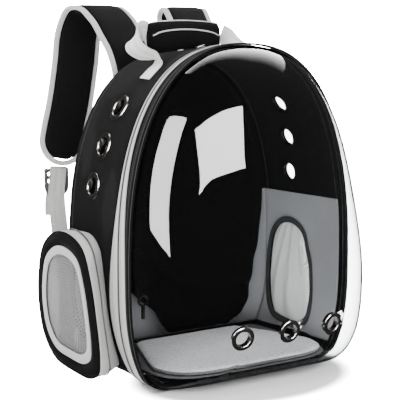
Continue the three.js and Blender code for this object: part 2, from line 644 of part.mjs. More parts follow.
function floorOutline(z, inset, back, backHalf) {
  const half = Math.min(FLOOR_BOARD.halfWidth, halfWidthAt(z, BACK) - WALL - 4) - inset;
  const front = domeInside(z) + inset;
  const rear = Math.min(half, backHalf);
  const round = FLOOR_PAD.corner;
  const shape = new THREE.Shape();
  shape.moveTo(rear - 14, back);
  shape.lineTo(-rear + 14, back);
  shape.quadraticCurveTo(-rear, back, mix(-half, -rear, 0.88), back - 17);
  shape.lineTo(-half, Math.max(front + round * 1.25, MOUTH_Y + 10));
  shape.bezierCurveTo(-half, front + round * 0.4, -half + round * 0.5, front, -half + round * 1.5, front);
  shape.lineTo(half - round * 1.5, front);
  shape.bezierCurveTo(half - round * 0.5, front, half, front + round * 0.4, half, Math.max(front + round * 1.25, MOUTH_Y + 10));
  shape.lineTo(mix(half, rear, 0.88), back - 17);
  shape.quadraticCurveTo(rear, back, rear - 14, back);
  return shape.getSpacedPoints(FLOOR_STEPS).slice(0, FLOOR_STEPS).map((p) => vector(p.x, p.y, z));
}

function floorBoard() {
  const { bottom, top } = FLOOR_BOARD;
  const sheet = (z, inset) => floorOutline(z, inset, FLOOR_BOARD.back, FLOOR_BOARD.halfWidth);
  return loft([sheet(bottom, 7), sheet(mix(bottom, top, 0.45), 6), sheet(top, 3)]);
}

function floorPad() {
  const low = FLOOR_BOARD.top + GAP;
  const at = (z, inset) => floorOutline(low, FLOOR_PAD.inset + inset, FLOOR_PAD.back - inset, FLOOR_PAD.backHalfWidth - inset)
    .map((p) => p.setZ(z));
  return loft([at(low, 1), at(low + 3, 0), at(low + FLOOR_PAD.thick - 1.5, 0), at(low + FLOOR_PAD.thick, 2)]);
}

function backBoard() {
  const foot = FLOOR_BOARD.top + FLOOR_PAD.thick + 2 * GAP;
  const row = ({ height, halfWidth, shift, front }) => {
    const z = Math.max(height, foot);
    const across = [1, 0, -1].map((share) => shift + share * halfWidth);
    return [...across.map((x) => vector(x, front, z)),
      ...across.reverse().map((x) => vector(x, front + BACK_BOARD, z))];
  };
  return bridged(BOARD_SHAPE.map(row));
}

// Straps and webbing: a band of rings along a line, its width held level and its face turned to the line
function levelFrames(points, steps) {
  const line = new THREE.CatmullRomCurve3(points.map((p) => vector(...p)), false, 'centripetal');
  const frames = [];
  for (let i = 0; i <= steps; i++) {
    const at = line.getPointAt(i / steps);
    const along = line.getTangentAt(i / steps);
    const face = vector(1, 0, 0).cross(along).normalize();
    frames.push({ at, along, face, across: along.clone().cross(face).normalize() });
  }
  return frames;
}

function bandSection({ at, across, face }, left, right, thick, edgeShare = 1) {
  const p = (side, out) => at.clone().addScaledVector(across, side).addScaledVector(face, out);
  const [half, edge] = [thick / 2, (thick / 2) * edgeShare];
  return [p(left, -edge), p(mix(left, right, 0.5), -half), p(right, -edge),
    p(right, edge), p(mix(left, right, 0.5), half), p(left, edge)];
}

const webbing = (points, steps) => loft(levelFrames(points, steps)
  .map((frame) => bandSection(frame, -WEBBING.width / 2, WEBBING.width / 2, WEBBING.thick)));

function strapLength() {
  return new THREE.CatmullRomCurve3(STRAP_PATH.map((p) => vector(...p)), false, 'centripetal').getLength();
}

const CORE_HALF = STRAP.width / 2 - STRAP.edge - GAP;

function strapPad() {
  const frames = levelFrames(STRAP_PATH, STRAP.steps);
  const step = strapLength() / STRAP.steps;
  const roundStart = strapLength() - STRAP.width / 2;
  const roundRadius = CORE_HALF - 3 * GAP;
  const sectionAt = (distance) => {
    const share = Math.min(distance / step, STRAP.steps - 1e-6);
    const i = Math.floor(share);
    const a = frames[i];
    const b = frames[i + 1];
    const frame = {
      at: a.at.clone().lerp(b.at, share - i),
      across: a.across.clone().lerp(b.across, share - i).normalize(),
      face: a.face.clone().lerp(b.face, share - i).normalize(),
    };
    const past = Math.max(0, distance - roundStart) / roundRadius;
    const half = (past > 0 ? roundRadius : CORE_HALF) * Math.sqrt(Math.max(0.02, 1 - past * past));
    return bandSection(frame, -half, half, STRAP.thick, 0.72);
  };
  const distances = frames.map((_, i) => i * step).filter((d) => d < roundStart);
  for (const share of [0.02, 0.4, 0.7, 0.9, 0.985]) distances.push(roundStart + roundRadius * share);
  return loft(distances.map(sectionAt));
}

// The binding runs down one edge, round the strap's end and up the other edge
function strapEdge() {
  const frames = levelFrames(STRAP_PATH, STRAP.steps);
  const length = strapLength();
  const step = length / STRAP.steps;
  const outer = STRAP.width / 2;
  const roundStart = length - outer;
  const onStrap = (distance, side, out) => {
    const share = Math.min(distance / step, STRAP.steps - 1e-6);
    const i = Math.floor(share);
    const a = frames[i];
    const b = frames[i + 1];
    const blend = share - i;
    return a.at.clone().lerp(b.at, blend)
      .addScaledVector(a.across.clone().lerp(b.across, blend).normalize(), side)
      .addScaledVector(a.face.clone().lerp(b.face, blend).normalize(), out);
  };
  const half = STRAP.edgeThick / 2;
  const sectionAt = (distance, turn) => [[outer, -half], [outer, half], [CORE_HALF + GAP, half], [CORE_HALF + GAP, -half]]
    .map(([reach, out]) => onStrap(distance + reach * Math.cos(turn), reach * Math.sin(turn), out));
  const places = [];
  const straight = Math.floor(roundStart / step);
  for (let i = 0; i <= straight; i++) places.push([i * step, Math.PI / 2]);
  const turns = 8;
  for (let i = 0; i <= turns; i++) places.push([roundStart, Math.PI / 2 - (Math.PI * i) / turns]);
  for (let i = straight; i >= 0; i--) places.push([i * step, -Math.PI / 2]);
  return loft(places.map(([distance, turn]) => sectionAt(distance, turn)));
}

function ladderLock() {
  const { width, height, thick, slot, bar } = BUCKLE;
  const shape = new THREE.Shape();
  const [w, h] = [width / 2, height / 2];
  shape.moveTo(-w, h);
  shape.lineTo(w, h);
  shape.lineTo(w, -h * 0.35);
  shape.quadraticCurveTo(w * 0.9, -h, 0, -h);
  shape.quadraticCurveTo(-w * 0.9, -h, -w, -h * 0.35);
  shape.closePath();
  const slotHalf = WEBBING.width / 2 + 1.5;
  for (const top of [h - bar, h - 2 * bar - slot]) {
    const hole = new THREE.Path();
    hole.moveTo(-slotHalf, top);
    hole.lineTo(-slotHalf, top - slot);
    hole.lineTo(slotHalf, top - slot);
    hole.lineTo(slotHalf, top);
    hole.closePath();
    shape.holes.push(hole);
  }
  const frame = new THREE.ExtrudeGeometry(shape, { depth: thick, bevelEnabled: false, curveSegments: 5 });
  frame.translate(0, 0, -thick / 2).rotateX(Math.PI / 2);
  return frame.translate(...BUCKLE_AT);
}

// Carry handle
function handleGrip() {
  const ring = (x, size) => {
    const points = [];
    for (let i = 0; i < 10; i++) {
      const turn = (2 * Math.PI * i) / 10;
      points.push(vector(x, GRIP.y + (GRIP.thick / 2) * size * Math.cos(turn),
        GRIP.z + 2.5 * (1 - ((x - GRIP.x) / (GRIP.length / 2)) ** 2) + (GRIP.height / 2) * size * Math.sin(turn)));
    }
    return points;
  };
  const half = GRIP.length / 2;
  return loft([-1, -0.94, -0.6, 0, 0.6, 0.94, 1].map((share) => ring(
    GRIP.x + share * half, Math.abs(share) === 1 ? 0.82 : 0.97)));
}

// Webbing through a table of places, each with the direction that its width takes there
function twistedWebbing(rows, side, steps) {
  const place = ({ at, y, z, out }) => {
    if (at) return vector(...at);
    const p = vector(wallHalfWidth(y, z), y, z).addScaledVector(wallNormal(y, z), out);
    return p.setX(side * p.x);
  };
  const line = new THREE.CatmullRomCurve3(rows.map(place), false, 'centripetal');
  const widths = new THREE.CatmullRomCurve3(rows.map(({ across }) => vector(...across)), false, 'centripetal');
  const rings = [];
  for (let i = 0; i <= steps; i++) {
    const along = line.getTangent(i / steps);
    const face = widths.getPoint(i / steps).cross(along).normalize();
    const across = along.clone().cross(face).normalize();
    rings.push(bandSection({ at: line.getPoint(i / steps), across, face },
      -WEBBING.width / 2, WEBBING.width / 2, WEBBING.thick));
  }
  return loft(rings);
}

// Safety tether
const tetherWebbing = () => loft(levelFrames(TETHER.path, 6)
  .map((frame) => bandSection(frame, -TETHER.width / 2, TETHER.width / 2, TETHER.thick)));

function tetherClip() {
  const ring = new THREE.TorusGeometry(CLIP.ring, CLIP.wire, 5, 10).rotateX(Math.PI / 2);
  const stem = new THREE.CylinderGeometry(CLIP.wire * 1.6, CLIP.wire * 1.6, CLIP.length - CLIP.ring, 8)
    .rotateX(Math.PI / 2).translate(0, 0, -CLIP.ring - (CLIP.length - CLIP.ring) / 2 + 1);
  const joined = solidOf(ring).add(solidOf(stem));
  return geometryFrom(joined).translate(...CLIP.at);
}

// Assembly
const carrier = new THREE.Group();

function add(name, geometry, finish) {
  const mesh = new THREE.Mesh(geometry, finish);
  mesh.name = name;
  carrier.add(mesh);
}

function addPair(name, rightGeometry, finish) {
  add(`${name}_right`, rightGeometry, finish);
  add(`${name}_left`, mirrored(rightGeometry), finish);
}

add('side_wall', sideWall(), CLOTH);
add('back_panel', backPanel(), CLOTH);
add('base_panel', basePanel(), CLOTH);
add('dome', dome(), CLEAR);
add('dome_binding', domeBinding(), CLOTH);
add('door_zip_inner_tape', archBand(innerTapeFront, () => COIL_FRONT - GAP, GAP, GAP + TAPE_THICK), GREY);
add('door_zip_coil', archBand(() => COIL_FRONT, () => COIL_FRONT + COIL_WIDTH, GAP, GAP + COIL_THICK), COIL);
add('door_zip_outer_tape', archBand(() => OUTER_TAPE_FRONT, outerTapeBack, GAP, GAP + TAPE_THICK), GREY);
add('door_zip_slider', zipSlider(), METAL);
eyeletSeats().forEach(({ side, row, at, normal }) => {
  add(`eyelet_${side > 0 ? 'right' : 'left'}_${row}`, alongNormal(eyelet(SIDE_EYELET, WALL, 0), at, normal), METAL);
});
frontSeats().forEach(({ place, at, normal }) => {
  add(`eyelet_front_${place + 2}`, alongNormal(eyelet(FRONT_EYELET, DOME_WALL + 3, 13), at, normal), METAL);
});
addPair('pouch_gusset', pouchGusset(), GREY);
addPair('pouch_zip_coil', pouchCoil(), COIL);
addPair('pouch_face', pouchFace(), CLOTH);
addPair('pouch_trim', pouchTrim(), GREY);
addPair('pouch_mesh', pouchMesh(), MESH);
addPair('window_trim', windowTrim(), GREY_SHADE);
addPair('window_mesh', windowMesh(), GREY);
add('lower_lining', lowerLining(), LINING_CLOTH);
add('floor_board', floorBoard(), BOARD);
add('floor_pad', floorPad(), PAD);
add('back_board', backBoard(), CLOTH);
addPair('strap_pad', strapPad(), CLOTH);
addPair('strap_edge', strapEdge(), GREY);
addPair('strap_webbing', webbing(WEBBING_PATH, 12), GREY_SHADE);
addPair('webbing_tail', webbing(TAIL_PATH, 4), GREY_SHADE);
addPair('ladder_lock', ladderLock(), PLASTIC);
add('handle_grip', handleGrip(), CLOTH);
add('handle_webbing_right', twistedWebbing(HANDLE_RIGHT, 1, 10), GREY);
add('handle_webbing_left', twistedWebbing(HANDLE_LEFT, -1, 18), GREY);
add('tether_webbing', tetherWebbing(), CLOTH);
add('tether_clip', tetherClip(), METAL);

export default carrier;
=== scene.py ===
# %% [markdown]
# A bubble pet carrier backpack
# The carrier is a black cloth arch with a clear dome on its mouth, a zip round the dome, a zipped mesh
# pouch on each side, metal eyelets for air, and two padded straps behind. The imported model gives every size
# and place. This script dresses it: each soft piece is made again in mesh code as cloth, webbing or
# padding.

# %% Load the frame
import bmesh
import bpy
import math
from mathutils import Matrix, Vector, noise


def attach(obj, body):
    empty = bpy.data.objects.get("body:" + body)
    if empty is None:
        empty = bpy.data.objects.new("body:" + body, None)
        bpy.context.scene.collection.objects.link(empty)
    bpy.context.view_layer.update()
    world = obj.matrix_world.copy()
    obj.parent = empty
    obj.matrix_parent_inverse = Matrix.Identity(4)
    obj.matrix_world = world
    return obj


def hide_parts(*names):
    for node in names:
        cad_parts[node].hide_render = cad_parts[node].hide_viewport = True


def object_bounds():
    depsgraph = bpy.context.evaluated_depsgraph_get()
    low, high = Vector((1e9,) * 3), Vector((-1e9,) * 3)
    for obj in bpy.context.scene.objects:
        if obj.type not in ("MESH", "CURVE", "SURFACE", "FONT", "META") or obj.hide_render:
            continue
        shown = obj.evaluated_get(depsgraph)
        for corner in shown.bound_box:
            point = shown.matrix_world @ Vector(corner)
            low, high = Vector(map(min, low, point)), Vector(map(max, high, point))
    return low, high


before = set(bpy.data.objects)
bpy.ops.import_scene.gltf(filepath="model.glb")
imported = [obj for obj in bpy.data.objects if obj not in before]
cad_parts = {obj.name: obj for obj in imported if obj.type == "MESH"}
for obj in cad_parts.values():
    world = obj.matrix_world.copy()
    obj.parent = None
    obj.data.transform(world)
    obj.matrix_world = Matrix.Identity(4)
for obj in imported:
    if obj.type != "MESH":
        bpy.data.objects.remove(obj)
cad_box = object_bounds()
print("frame loaded,", len(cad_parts), "nodes")

# %% [markdown]
# Sizes
# Everything soft follows one arch, which narrows a little from the mouth to the back. Lengths are in
# metres, so a size that is easier to read in millimetres is multiplied by MM.

# %% Sizes of the body
MM = 0.001
GAP = 0.3 * MM
WALL = 4 * MM
MOUTH = dict(bottom=4 * MM, top=420 * MM, widest_at=130 * MM, half_width=167 * MM, base_half_width=138 * MM)
BACK = dict(bottom=4 * MM, top=410 * MM, widest_at=130 * MM, half_width=161 * MM, base_half_width=133 * MM)
FOOT_CORNER = 18 * MM
TOP_POWER = 2.6
SIDE_POWER = 2.35
FOOT_POWER = 2.7
MOUTH_Y = -82 * MM
BACK_Y = 82 * MM
BACK_PANEL = 6 * MM
BASE_PANEL = 7 * MM
WALL_BACK_Y = BACK_Y - BACK_PANEL - GAP
DOME = dict(depth=109 * MM, wall=2 * MM, centre_z=135 * MM, side_power=2.6, draw_top=1.75, forward_top=2.0)
DOME_FOOT = dict(base_half_width=95 * MM, power=4.5, spread=6)
BINDING = dict(width=13.5 * MM, thick=2.2 * MM)
print("body", 2 * MOUTH["half_width"], "wide and", MOUTH["top"], "high")

# %% [markdown]
# Smooth lines
# Straps, webbing and outlines are drawn as smooth lines through a few measured points. Blender has curves
# for this, but a line that code can ask for points and directions is easier to hang other things on.

# %% Smooth line helpers
def mix(a, b, share):
    return a + (b - a) * share


def ease(value, low, high):
    share = min(1.0, max(0.0, (value - low) / (high - low)))
    return share * share * (3 - 2 * share)


def line_point(points, share, closed=False):
    count = len(points)
    spans = count if closed else count - 1
    place = share * spans
    i = min(int(math.floor(place)), spans - 1)
    t = place - i
    p1 = points[i % count]
    p2 = points[(i + 1) % count]
    p0 = points[i - 1] if closed or i > 0 else p1 * 2 - p2
    p3 = points[(i + 2) % count] if closed or i + 2 < count else p2 * 2 - p1
    d1 = max((p2 - p1).length ** 0.5, 1e-6)
    d0 = (p1 - p0).length ** 0.5 or d1
    d2 = (p3 - p2).length ** 0.5 or d1
    m1 = ((p1 - p0) / d0 - (p2 - p0) / (d0 + d1) + (p2 - p1) / d1) * d1
    m2 = ((p2 - p1) / d1 - (p3 - p1) / (d1 + d2) + (p3 - p2) / d2) * d1
    return p1 + m1 * t + (p2 * 3 - p1 * 3 - m1 * 2 - m2) * t * t + (p1 * 2 - p2 * 2 + m1 + m2) * t ** 3


def even_points(points, steps, closed=False):
    dense = max(8 * steps, 24 * len(points))
    line = [line_point(points, i / dense, closed) for i in range(dense + 1)]
    run = [0.0]
    for a, b in zip(line, line[1:]):
        run.append(run[-1] + (b - a).length)
    places = []
    at = 0
    for i in range(steps + 1):
        wanted = run[-1] * i / steps
        while at < dense - 1 and run[at + 1] < wanted:
            at += 1
        span = run[at + 1] - run[at]
        places.append(line[at].lerp(line[at + 1], (wanted - run[at]) / span if span else 0.0))
    return places[:-1] if closed else places


def line_length(points):
    return sum((b - a).length for a, b in zip(points, points[1:]))


# %% [markdown]
# The arch
# The shoulders are squarer than a circle and the sides draw in late towards the base, so the half width is
# a power curve above the widest place and another one below it.

# %% Arch helpers
def half_width(z, arch):
    if z >= arch["widest_at"]:
        rise = min(1.0, (z - arch["widest_at"]) / (arch["top"] - arch["widest_at"]))
        return arch["half_width"] * (1 - rise ** TOP_POWER) ** (1 / SIDE_POWER)
    below = FOOT_CORNER - min(FOOT_CORNER, max(0.0, z - arch["bottom"]))
    corner = FOOT_CORNER - math.sqrt(FOOT_CORNER ** 2 - below ** 2)
    return side_at(z, arch, arch["base_half_width"], FOOT_POWER) - corner


def side_at(z, arch, base_half, power):
    drop = min(1.0, (arch["widest_at"] - z) / (arch["widest_at"] - arch["bottom"]))
    pull = 1 - (base_half / arch["half_width"]) ** SIDE_POWER
    return arch["half_width"] * (1 - pull * drop ** power) ** (1 / SIDE_POWER)


def drawn_in(p, arch, inset):
    middle = (arch["top"] + arch["bottom"]) / 2
    x = p.x * (1 - inset / arch["half_width"])
    return Vector((x, p.y, middle + (p.z - middle) * (1 - inset / (arch["top"] - middle))))


def arch_line(arch, inset=0.0):
    right = []
    for i in range(12):
        z = mix(arch["bottom"], arch["widest_at"], (i / 12) ** 1.7)
        right.append(Vector((half_width(z, arch), 0, z)))
    for i in range(28):
        turn = math.pi / 2 * i / 28
        rise = (arch["top"] - arch["widest_at"]) * math.sin(turn) ** (2 / TOP_POWER)
        x = arch["half_width"] * math.cos(turn) ** (2 / SIDE_POWER)
        right.append(Vector((x, 0, arch["widest_at"] + rise)))
    left = [Vector((-p.x, 0, p.z)) for p in reversed(right)]
    return [drawn_in(p, arch, inset) for p in right + [Vector((0, 0, arch["top"]))] + left]


def with_out(points, closed):
    count = len(points)
    rows = []
    for i, p in enumerate(points):
        before = points[i - 1] if closed or i > 0 else p
        after = points[(i + 1) % count] if closed or i + 1 < count else p
        along = (after - before).normalized()
        rows.append((p, Vector((along.z, 0, -along.x))))
    return rows


def arch_stations(arch, steps):
    return with_out(even_points(arch_line(arch), steps), False)


def ring_stations(arch, steps, inset=0.0):
    flat = arch["base_half_width"] - FOOT_CORNER
    foot = [Vector((share * flat, 0, arch["bottom"])) for share in (-0.9, -0.5, 0, 0.5, 0.9)]
    line = arch_line(arch, inset) + [drawn_in(p, arch, inset) for p in foot]
    return with_out(even_points(line, steps, True), True)


def arch_at(y):
    share = (y - MOUTH_Y) / (BACK_Y - MOUTH_Y)
    return {size: mix(MOUTH[size], BACK[size], share) for size in MOUTH}


def wall_x(y, z):
    return half_width(z, arch_at(y))


def wall_normal(y, z):
    step = 2 * MM
    rise = (wall_x(y, z + step) - wall_x(y, z - step)) / (2 * step)
    run = (wall_x(y + step, z) - wall_x(y - step, z)) / (2 * step)
    return Vector((1, -run, -rise)).normalized()


# %% [markdown]
# Cloth as a mapped grid
# A flat grid is the natural start for cloth, because cloth is cut flat. Each grid point is carried to its
# place on the piece, and its place on the flat cut is kept as a UV map in metres. The weave and the
# stitches are then laid out on the cut, and they follow the cloth wherever it goes.

# %% Grid helpers
def flat_grid(columns, rows):
    bm = bmesh.new()
    bmesh.ops.create_grid(bm, x_segments=columns, y_segments=rows, size=0.5)
    return bm


def mapped_grid(place, columns, rows, looped=False):
    bm = flat_grid(columns, rows)
    cut = bm.loops.layers.uv.new("cut")
    shares = {v: (v.co.x + 0.5, v.co.y + 0.5) for v in bm.verts}
    wide = line_length([place(i / columns, 0.5) for i in range(columns + 1)])
    tall = line_length([place(0.5, i / rows) for i in range(rows + 1)])
    for face in bm.faces:
        for loop in face.loops:
            u, v = shares[loop.vert]
            loop[cut].uv = (u * wide, v * tall)
    for vert, (u, v) in shares.items():
        vert.co = place(min(1.0, max(0.0, u)), min(1.0, max(0.0, v)))
    if looped:
        bmesh.ops.remove_doubles(bm, verts=bm.verts, dist=1e-5)
    return bm


def close_ends(bm):
    edges = [e for e in bm.edges if e.is_boundary]
    if edges:
        bmesh.ops.holes_fill(bm, edges=edges, sides=0)


def face_away(bm, centre):
    bm.normal_update()
    turned = sum((f.calc_center_median() - Vector(centre)).dot(f.normal) * f.calc_area() for f in bm.faces)
    if turned < 0:
        bmesh.ops.reverse_faces(bm, faces=bm.faces)


def cloth_area(bm):
    return sum(f.calc_area() for f in bm.faces)


# %% Finishing helpers
def thicken(piece, thick, offset=-1.0, round_edge=0.0):
    wall = piece.modifiers.new("thickness", "SOLIDIFY")
    wall.thickness = thick
    wall.offset = offset
    wall.use_even_offset = True
    if round_edge:
        soft = piece.modifiers.new("soft edge", "BEVEL")
        soft.width = round_edge
        soft.segments = 2
        soft.limit_method = "ANGLE"
        soft.angle_limit = math.radians(50)


def smoother(piece, levels=1):
    finer = piece.modifiers.new("finer", "SUBSURF")
    finer.levels = levels
    finer.render_levels = levels


def linked(name, bm, finish):
    mesh = bpy.data.meshes.new(name)
    bm.to_mesh(mesh)
    bm.free()
    mesh.materials.append(finish)
    item = bpy.data.objects.new(name, mesh)
    bpy.context.scene.collection.objects.link(item)
    return item


def make_piece(name, bm, finish, stands_for=()):
    bmesh.ops.dissolve_degenerate(bm, edges=bm.edges, dist=1e-6)
    bm.normal_update()
    piece = linked(name, bm, finish)
    piece.data.shade_smooth()
    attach(piece, "root")
    if stands_for:
        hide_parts(*stands_for)
    print(name, len(piece.data.polygons), "faces")
    return piece


def mirror_bm(bm):
    other = bm.copy()
    bmesh.ops.scale(other, verts=other.verts, vec=(-1, 1, 1))
    bmesh.ops.reverse_faces(other, faces=other.faces)
    return other


def make_pair(name, bm, finish):
    other = mirror_bm(bm)
    pair = []
    for side, half in (("right", bm), ("left", other)):
        node = f"{name}_{side}"
        pair.append(make_piece(f"{node}_cloth", half, finish, (node,)))
    return pair


# %% [markdown]
# Finishes
# Cloth is mostly its weave: threads that cross, catch the light and leave small dark gaps between them.
# That is one effect for many materials, so it is a node group. It is fed with the flat cut's coordinates.

# %% Node helpers
def add_node(tree, kind, **values):
    node = tree.nodes.new(kind)
    for key, value in values.items():
        setattr(node, key, value)
    return node


def maths(tree, operation, *inputs, clamp=False):
    node = add_node(tree, "ShaderNodeMath", operation=operation, use_clamp=clamp)
    for i, value in enumerate(inputs):
        if hasattr(value, "is_linked"):
            tree.links.new(value, node.inputs[i])
        else:
            node.inputs[i].default_value = value
    return node.outputs[0]


def new_finish(name):
    finish = bpy.data.materials.new(name)
    finish.use_nodes = True
    return finish, finish.node_tree, finish.node_tree.nodes["Principled BSDF"]


def object_place(tree):
    return add_node(tree, "ShaderNodeTexCoord").outputs["Object"]


def parts_of(tree, vector):
    split = add_node(tree, "ShaderNodeSeparateXYZ")
    tree.links.new(vector, split.inputs[0])
    return split.outputs


def new_group(name, inputs, outputs):
    group = bpy.data.node_groups.new(name, "ShaderNodeTree")
    for label, kind, value in inputs:
        socket = group.interface.new_socket(label, in_out="INPUT", socket_type=kind)
        if value is not None:
            socket.default_value = value
    for label, kind in outputs:
        group.interface.new_socket(label, in_out="OUTPUT", socket_type=kind)
    return group, add_node(group, "NodeGroupInput"), add_node(group, "NodeGroupOutput")


def bell(tree, distance, width):
    square = maths(tree, "POWER", maths(tree, "DIVIDE", distance, width), 2.0)
    return maths(tree, "EXPONENT", maths(tree, "MULTIPLY", square, -1.0))


# %% Weave group
def build_weave():
    group, given, made = new_group(
        "Weave",
        [("Cut", "NodeSocketVector", None), ("Warp", "NodeSocketFloat", 1 * MM),
         ("Weft", "NodeSocketFloat", 1 * MM)],
        [("Height", "NodeSocketFloat"), ("Shade", "NodeSocketFloat")])
    split = parts_of(group, given.outputs["Cut"])
    x = maths(group, "DIVIDE", split["X"], given.outputs["Warp"])
    y = maths(group, "DIVIDE", split["Y"], given.outputs["Weft"])
    steps = maths(group, "ADD", maths(group, "FLOOR", x), maths(group, "FLOOR", y))
    over = maths(group, "PINGPONG", steps, 1.0)
    ridge_x = maths(group, "ABSOLUTE", maths(group, "SINE", maths(group, "MULTIPLY", x, math.pi)))
    ridge_y = maths(group, "ABSOLUTE", maths(group, "SINE", maths(group, "MULTIPLY", y, math.pi)))
    ridges = maths(group, "MULTIPLY", ridge_x, ridge_y)
    raised = maths(group, "MULTIPLY", ridges, maths(group, "ADD", over, 0.45))
    group.links.new(raised, made.inputs["Height"])
    shade = maths(group, "ADD", maths(group, "MULTIPLY", raised, 0.4), 0.72)
    group.links.new(shade, made.inputs["Shade"])
    return group


WEAVE = build_weave()


# %% [markdown]
# Stitches
# A row of stitches is short raised threads in a shallow groove that they pull into the cloth. The group is
# told how far a point is from the row and how far along it lies, so one group serves every seam.

# %% Stitch group
def build_stitch():
    group, given, made = new_group(
        "Stitches",
        [("Across", "NodeSocketFloat", 0.0), ("Along", "NodeSocketFloat", 0.0),
         ("Pitch", "NodeSocketFloat", 4 * MM)],
        [("Thread", "NodeSocketFloat"), ("Height", "NodeSocketFloat")])
    away = maths(group, "ABSOLUTE", given.outputs["Across"])
    near = maths(group, "LESS_THAN", away, 0.45 * MM)
    beat = maths(group, "FRACT", maths(group, "DIVIDE", given.outputs["Along"], given.outputs["Pitch"]))
    dash = maths(group, "LESS_THAN", beat, 0.72)
    thread = maths(group, "MULTIPLY", near, dash)
    groove = bell(group, away, 1.6 * MM)
    height = maths(group, "SUBTRACT", maths(group, "MULTIPLY", thread, 0.7), groove)
    group.links.new(thread, made.inputs["Thread"])
    group.links.new(height, made.inputs["Height"])
    return group


STITCHES = build_stitch()


# %% [markdown]
# Use and dust
# Nothing made of cloth is one even colour. A slow noise lightens and darkens it, and it also carries the
# small waves that keep padded cloth from looking like plastic.

# %% Unevenness group
def build_uneven():
    group, given, made = new_group(
        "Unevenness",
        [("Place", "NodeSocketVector", None), ("Scale", "NodeSocketFloat", 14.0),
         ("Depth", "NodeSocketFloat", 0.2)],
        [("Shade", "NodeSocketFloat"), ("Height", "NodeSocketFloat")])
    cloud = add_node(group, "ShaderNodeTexNoise")
    cloud.inputs["Detail"].default_value = 3.0
    group.links.new(given.outputs["Place"], cloud.inputs["Vector"])
    group.links.new(given.outputs["Scale"], cloud.inputs["Scale"])
    value = cloud.outputs["Fac"]
    swing = maths(group, "MULTIPLY", maths(group, "SUBTRACT", value, 0.5), given.outputs["Depth"])
    group.links.new(maths(group, "ADD", swing, 1.0), made.inputs["Shade"])
    group.links.new(value, made.inputs["Height"])
    return group


UNEVEN = build_uneven()


# %% Cloth material
def place_group(tree, group, **values):
    node = add_node(tree, "ShaderNodeGroup", node_tree=group)
    for key, value in values.items():
        if hasattr(value, "is_linked"):
            tree.links.new(value, node.inputs[key])
        else:
            node.inputs[key].default_value = value
    return node


def tinted(tree, colour, shade):
    node = add_node(tree, "ShaderNodeVectorMath", operation="SCALE")
    if hasattr(colour, "is_linked"):
        tree.links.new(colour, node.inputs[0])
    else:
        node.inputs[0].default_value = colour
    tree.links.new(shade, node.inputs["Scale"])
    return node.outputs[0]


def blend_colour(tree, share, a, b):
    node = add_node(tree, "ShaderNodeMix", data_type="RGBA")
    tree.links.new(share, node.inputs[0])
    for socket, value in ((node.inputs[6], a), (node.inputs[7], b)):
        if hasattr(value, "is_linked"):
            tree.links.new(value, socket)
        else:
            socket.default_value = (*value, 1)
    return node.outputs[2]


def bumped(tree, height, distance, strength, under=None):
    node = add_node(tree, "ShaderNodeBump")
    node.inputs["Distance"].default_value = distance
    node.inputs["Strength"].default_value = strength
    tree.links.new(height, node.inputs["Height"])
    if under is not None:
        tree.links.new(under, node.inputs["Normal"])
    return node.outputs[0]


CLOTH_SHINE = 0.035


def cloth_finish(name, colour, warp=0.9, weft=0.9, grain=0.5, rough=0.85, sheen=0.01, depth=0.25, wave=0.0,
                 seams=(), thread=(0.05, 0.05, 0.052), pitch=3.6, along="X"):
    """seams are distances of stitch rows from the cut's edges: (inset, full width) in millimetres."""
    finish, tree, shader = new_finish(name)
    shader.inputs["Roughness"].default_value = rough
    shader.inputs["Sheen Weight"].default_value = sheen
    shader.inputs["Sheen Roughness"].default_value = 0.45
    shader.inputs["Specular IOR Level"].default_value = CLOTH_SHINE
    cut = add_node(tree, "ShaderNodeUVMap", uv_map="cut").outputs[0]
    place = object_place(tree)
    woven = place_group(tree, WEAVE, Cut=cut, Warp=warp * MM, Weft=weft * MM)
    cloud = place_group(tree, UNEVEN, Place=place, Scale=16.0, Depth=depth)
    shade = maths(tree, "MULTIPLY", woven.outputs["Shade"], cloud.outputs["Shade"])
    look = tinted(tree, colour, shade)
    normal = bumped(tree, woven.outputs["Height"], 0.35 * MM, grain)
    if wave:
        normal = bumped(tree, cloud.outputs["Height"], wave * MM, 1.0, normal)
    split = parts_of(tree, cut)
    run, side = (split["X"], split["Y"]) if along == "X" else (split["Y"], split["X"])
    for inset, full in seams:
        far = maths(tree, "SUBTRACT", full * MM, side)
        edge = maths(tree, "MINIMUM", side, far) if inset < full / 2 else side
        across = maths(tree, "SUBTRACT", edge, inset * MM)
        sewn = place_group(tree, STITCHES, Across=across, Along=run, Pitch=pitch * MM)
        look = blend_colour(tree, sewn.outputs["Thread"], look, thread)
        normal = bumped(tree, sewn.outputs["Height"], 0.8 * MM, 0.8, normal)
    tree.links.new(look, shader.inputs["Base Color"])
    tree.links.new(normal, shader.inputs["Normal"])
    return finish


BLACK = (0.0010, 0.0010, 0.0011)
PANEL_BLACK = (0.003, 0.003, 0.0032)
LIGHT = (0.49, 0.49, 0.48)
black_cloth = cloth_finish("black cloth", BLACK, wave=1.2)
print("first cloth made:", black_cloth.name)

# %% [markdown]
# The body wall
# One padded cloth runs from the right foot over the top to the left foot. It is opened for six eyelets and
# for the two windows behind the pouches. Faces whose middle lies in an opening are deleted and the ragged
# rim is drawn onto its outline, which is lighter than cutting with a Boolean and leaves clean quads.

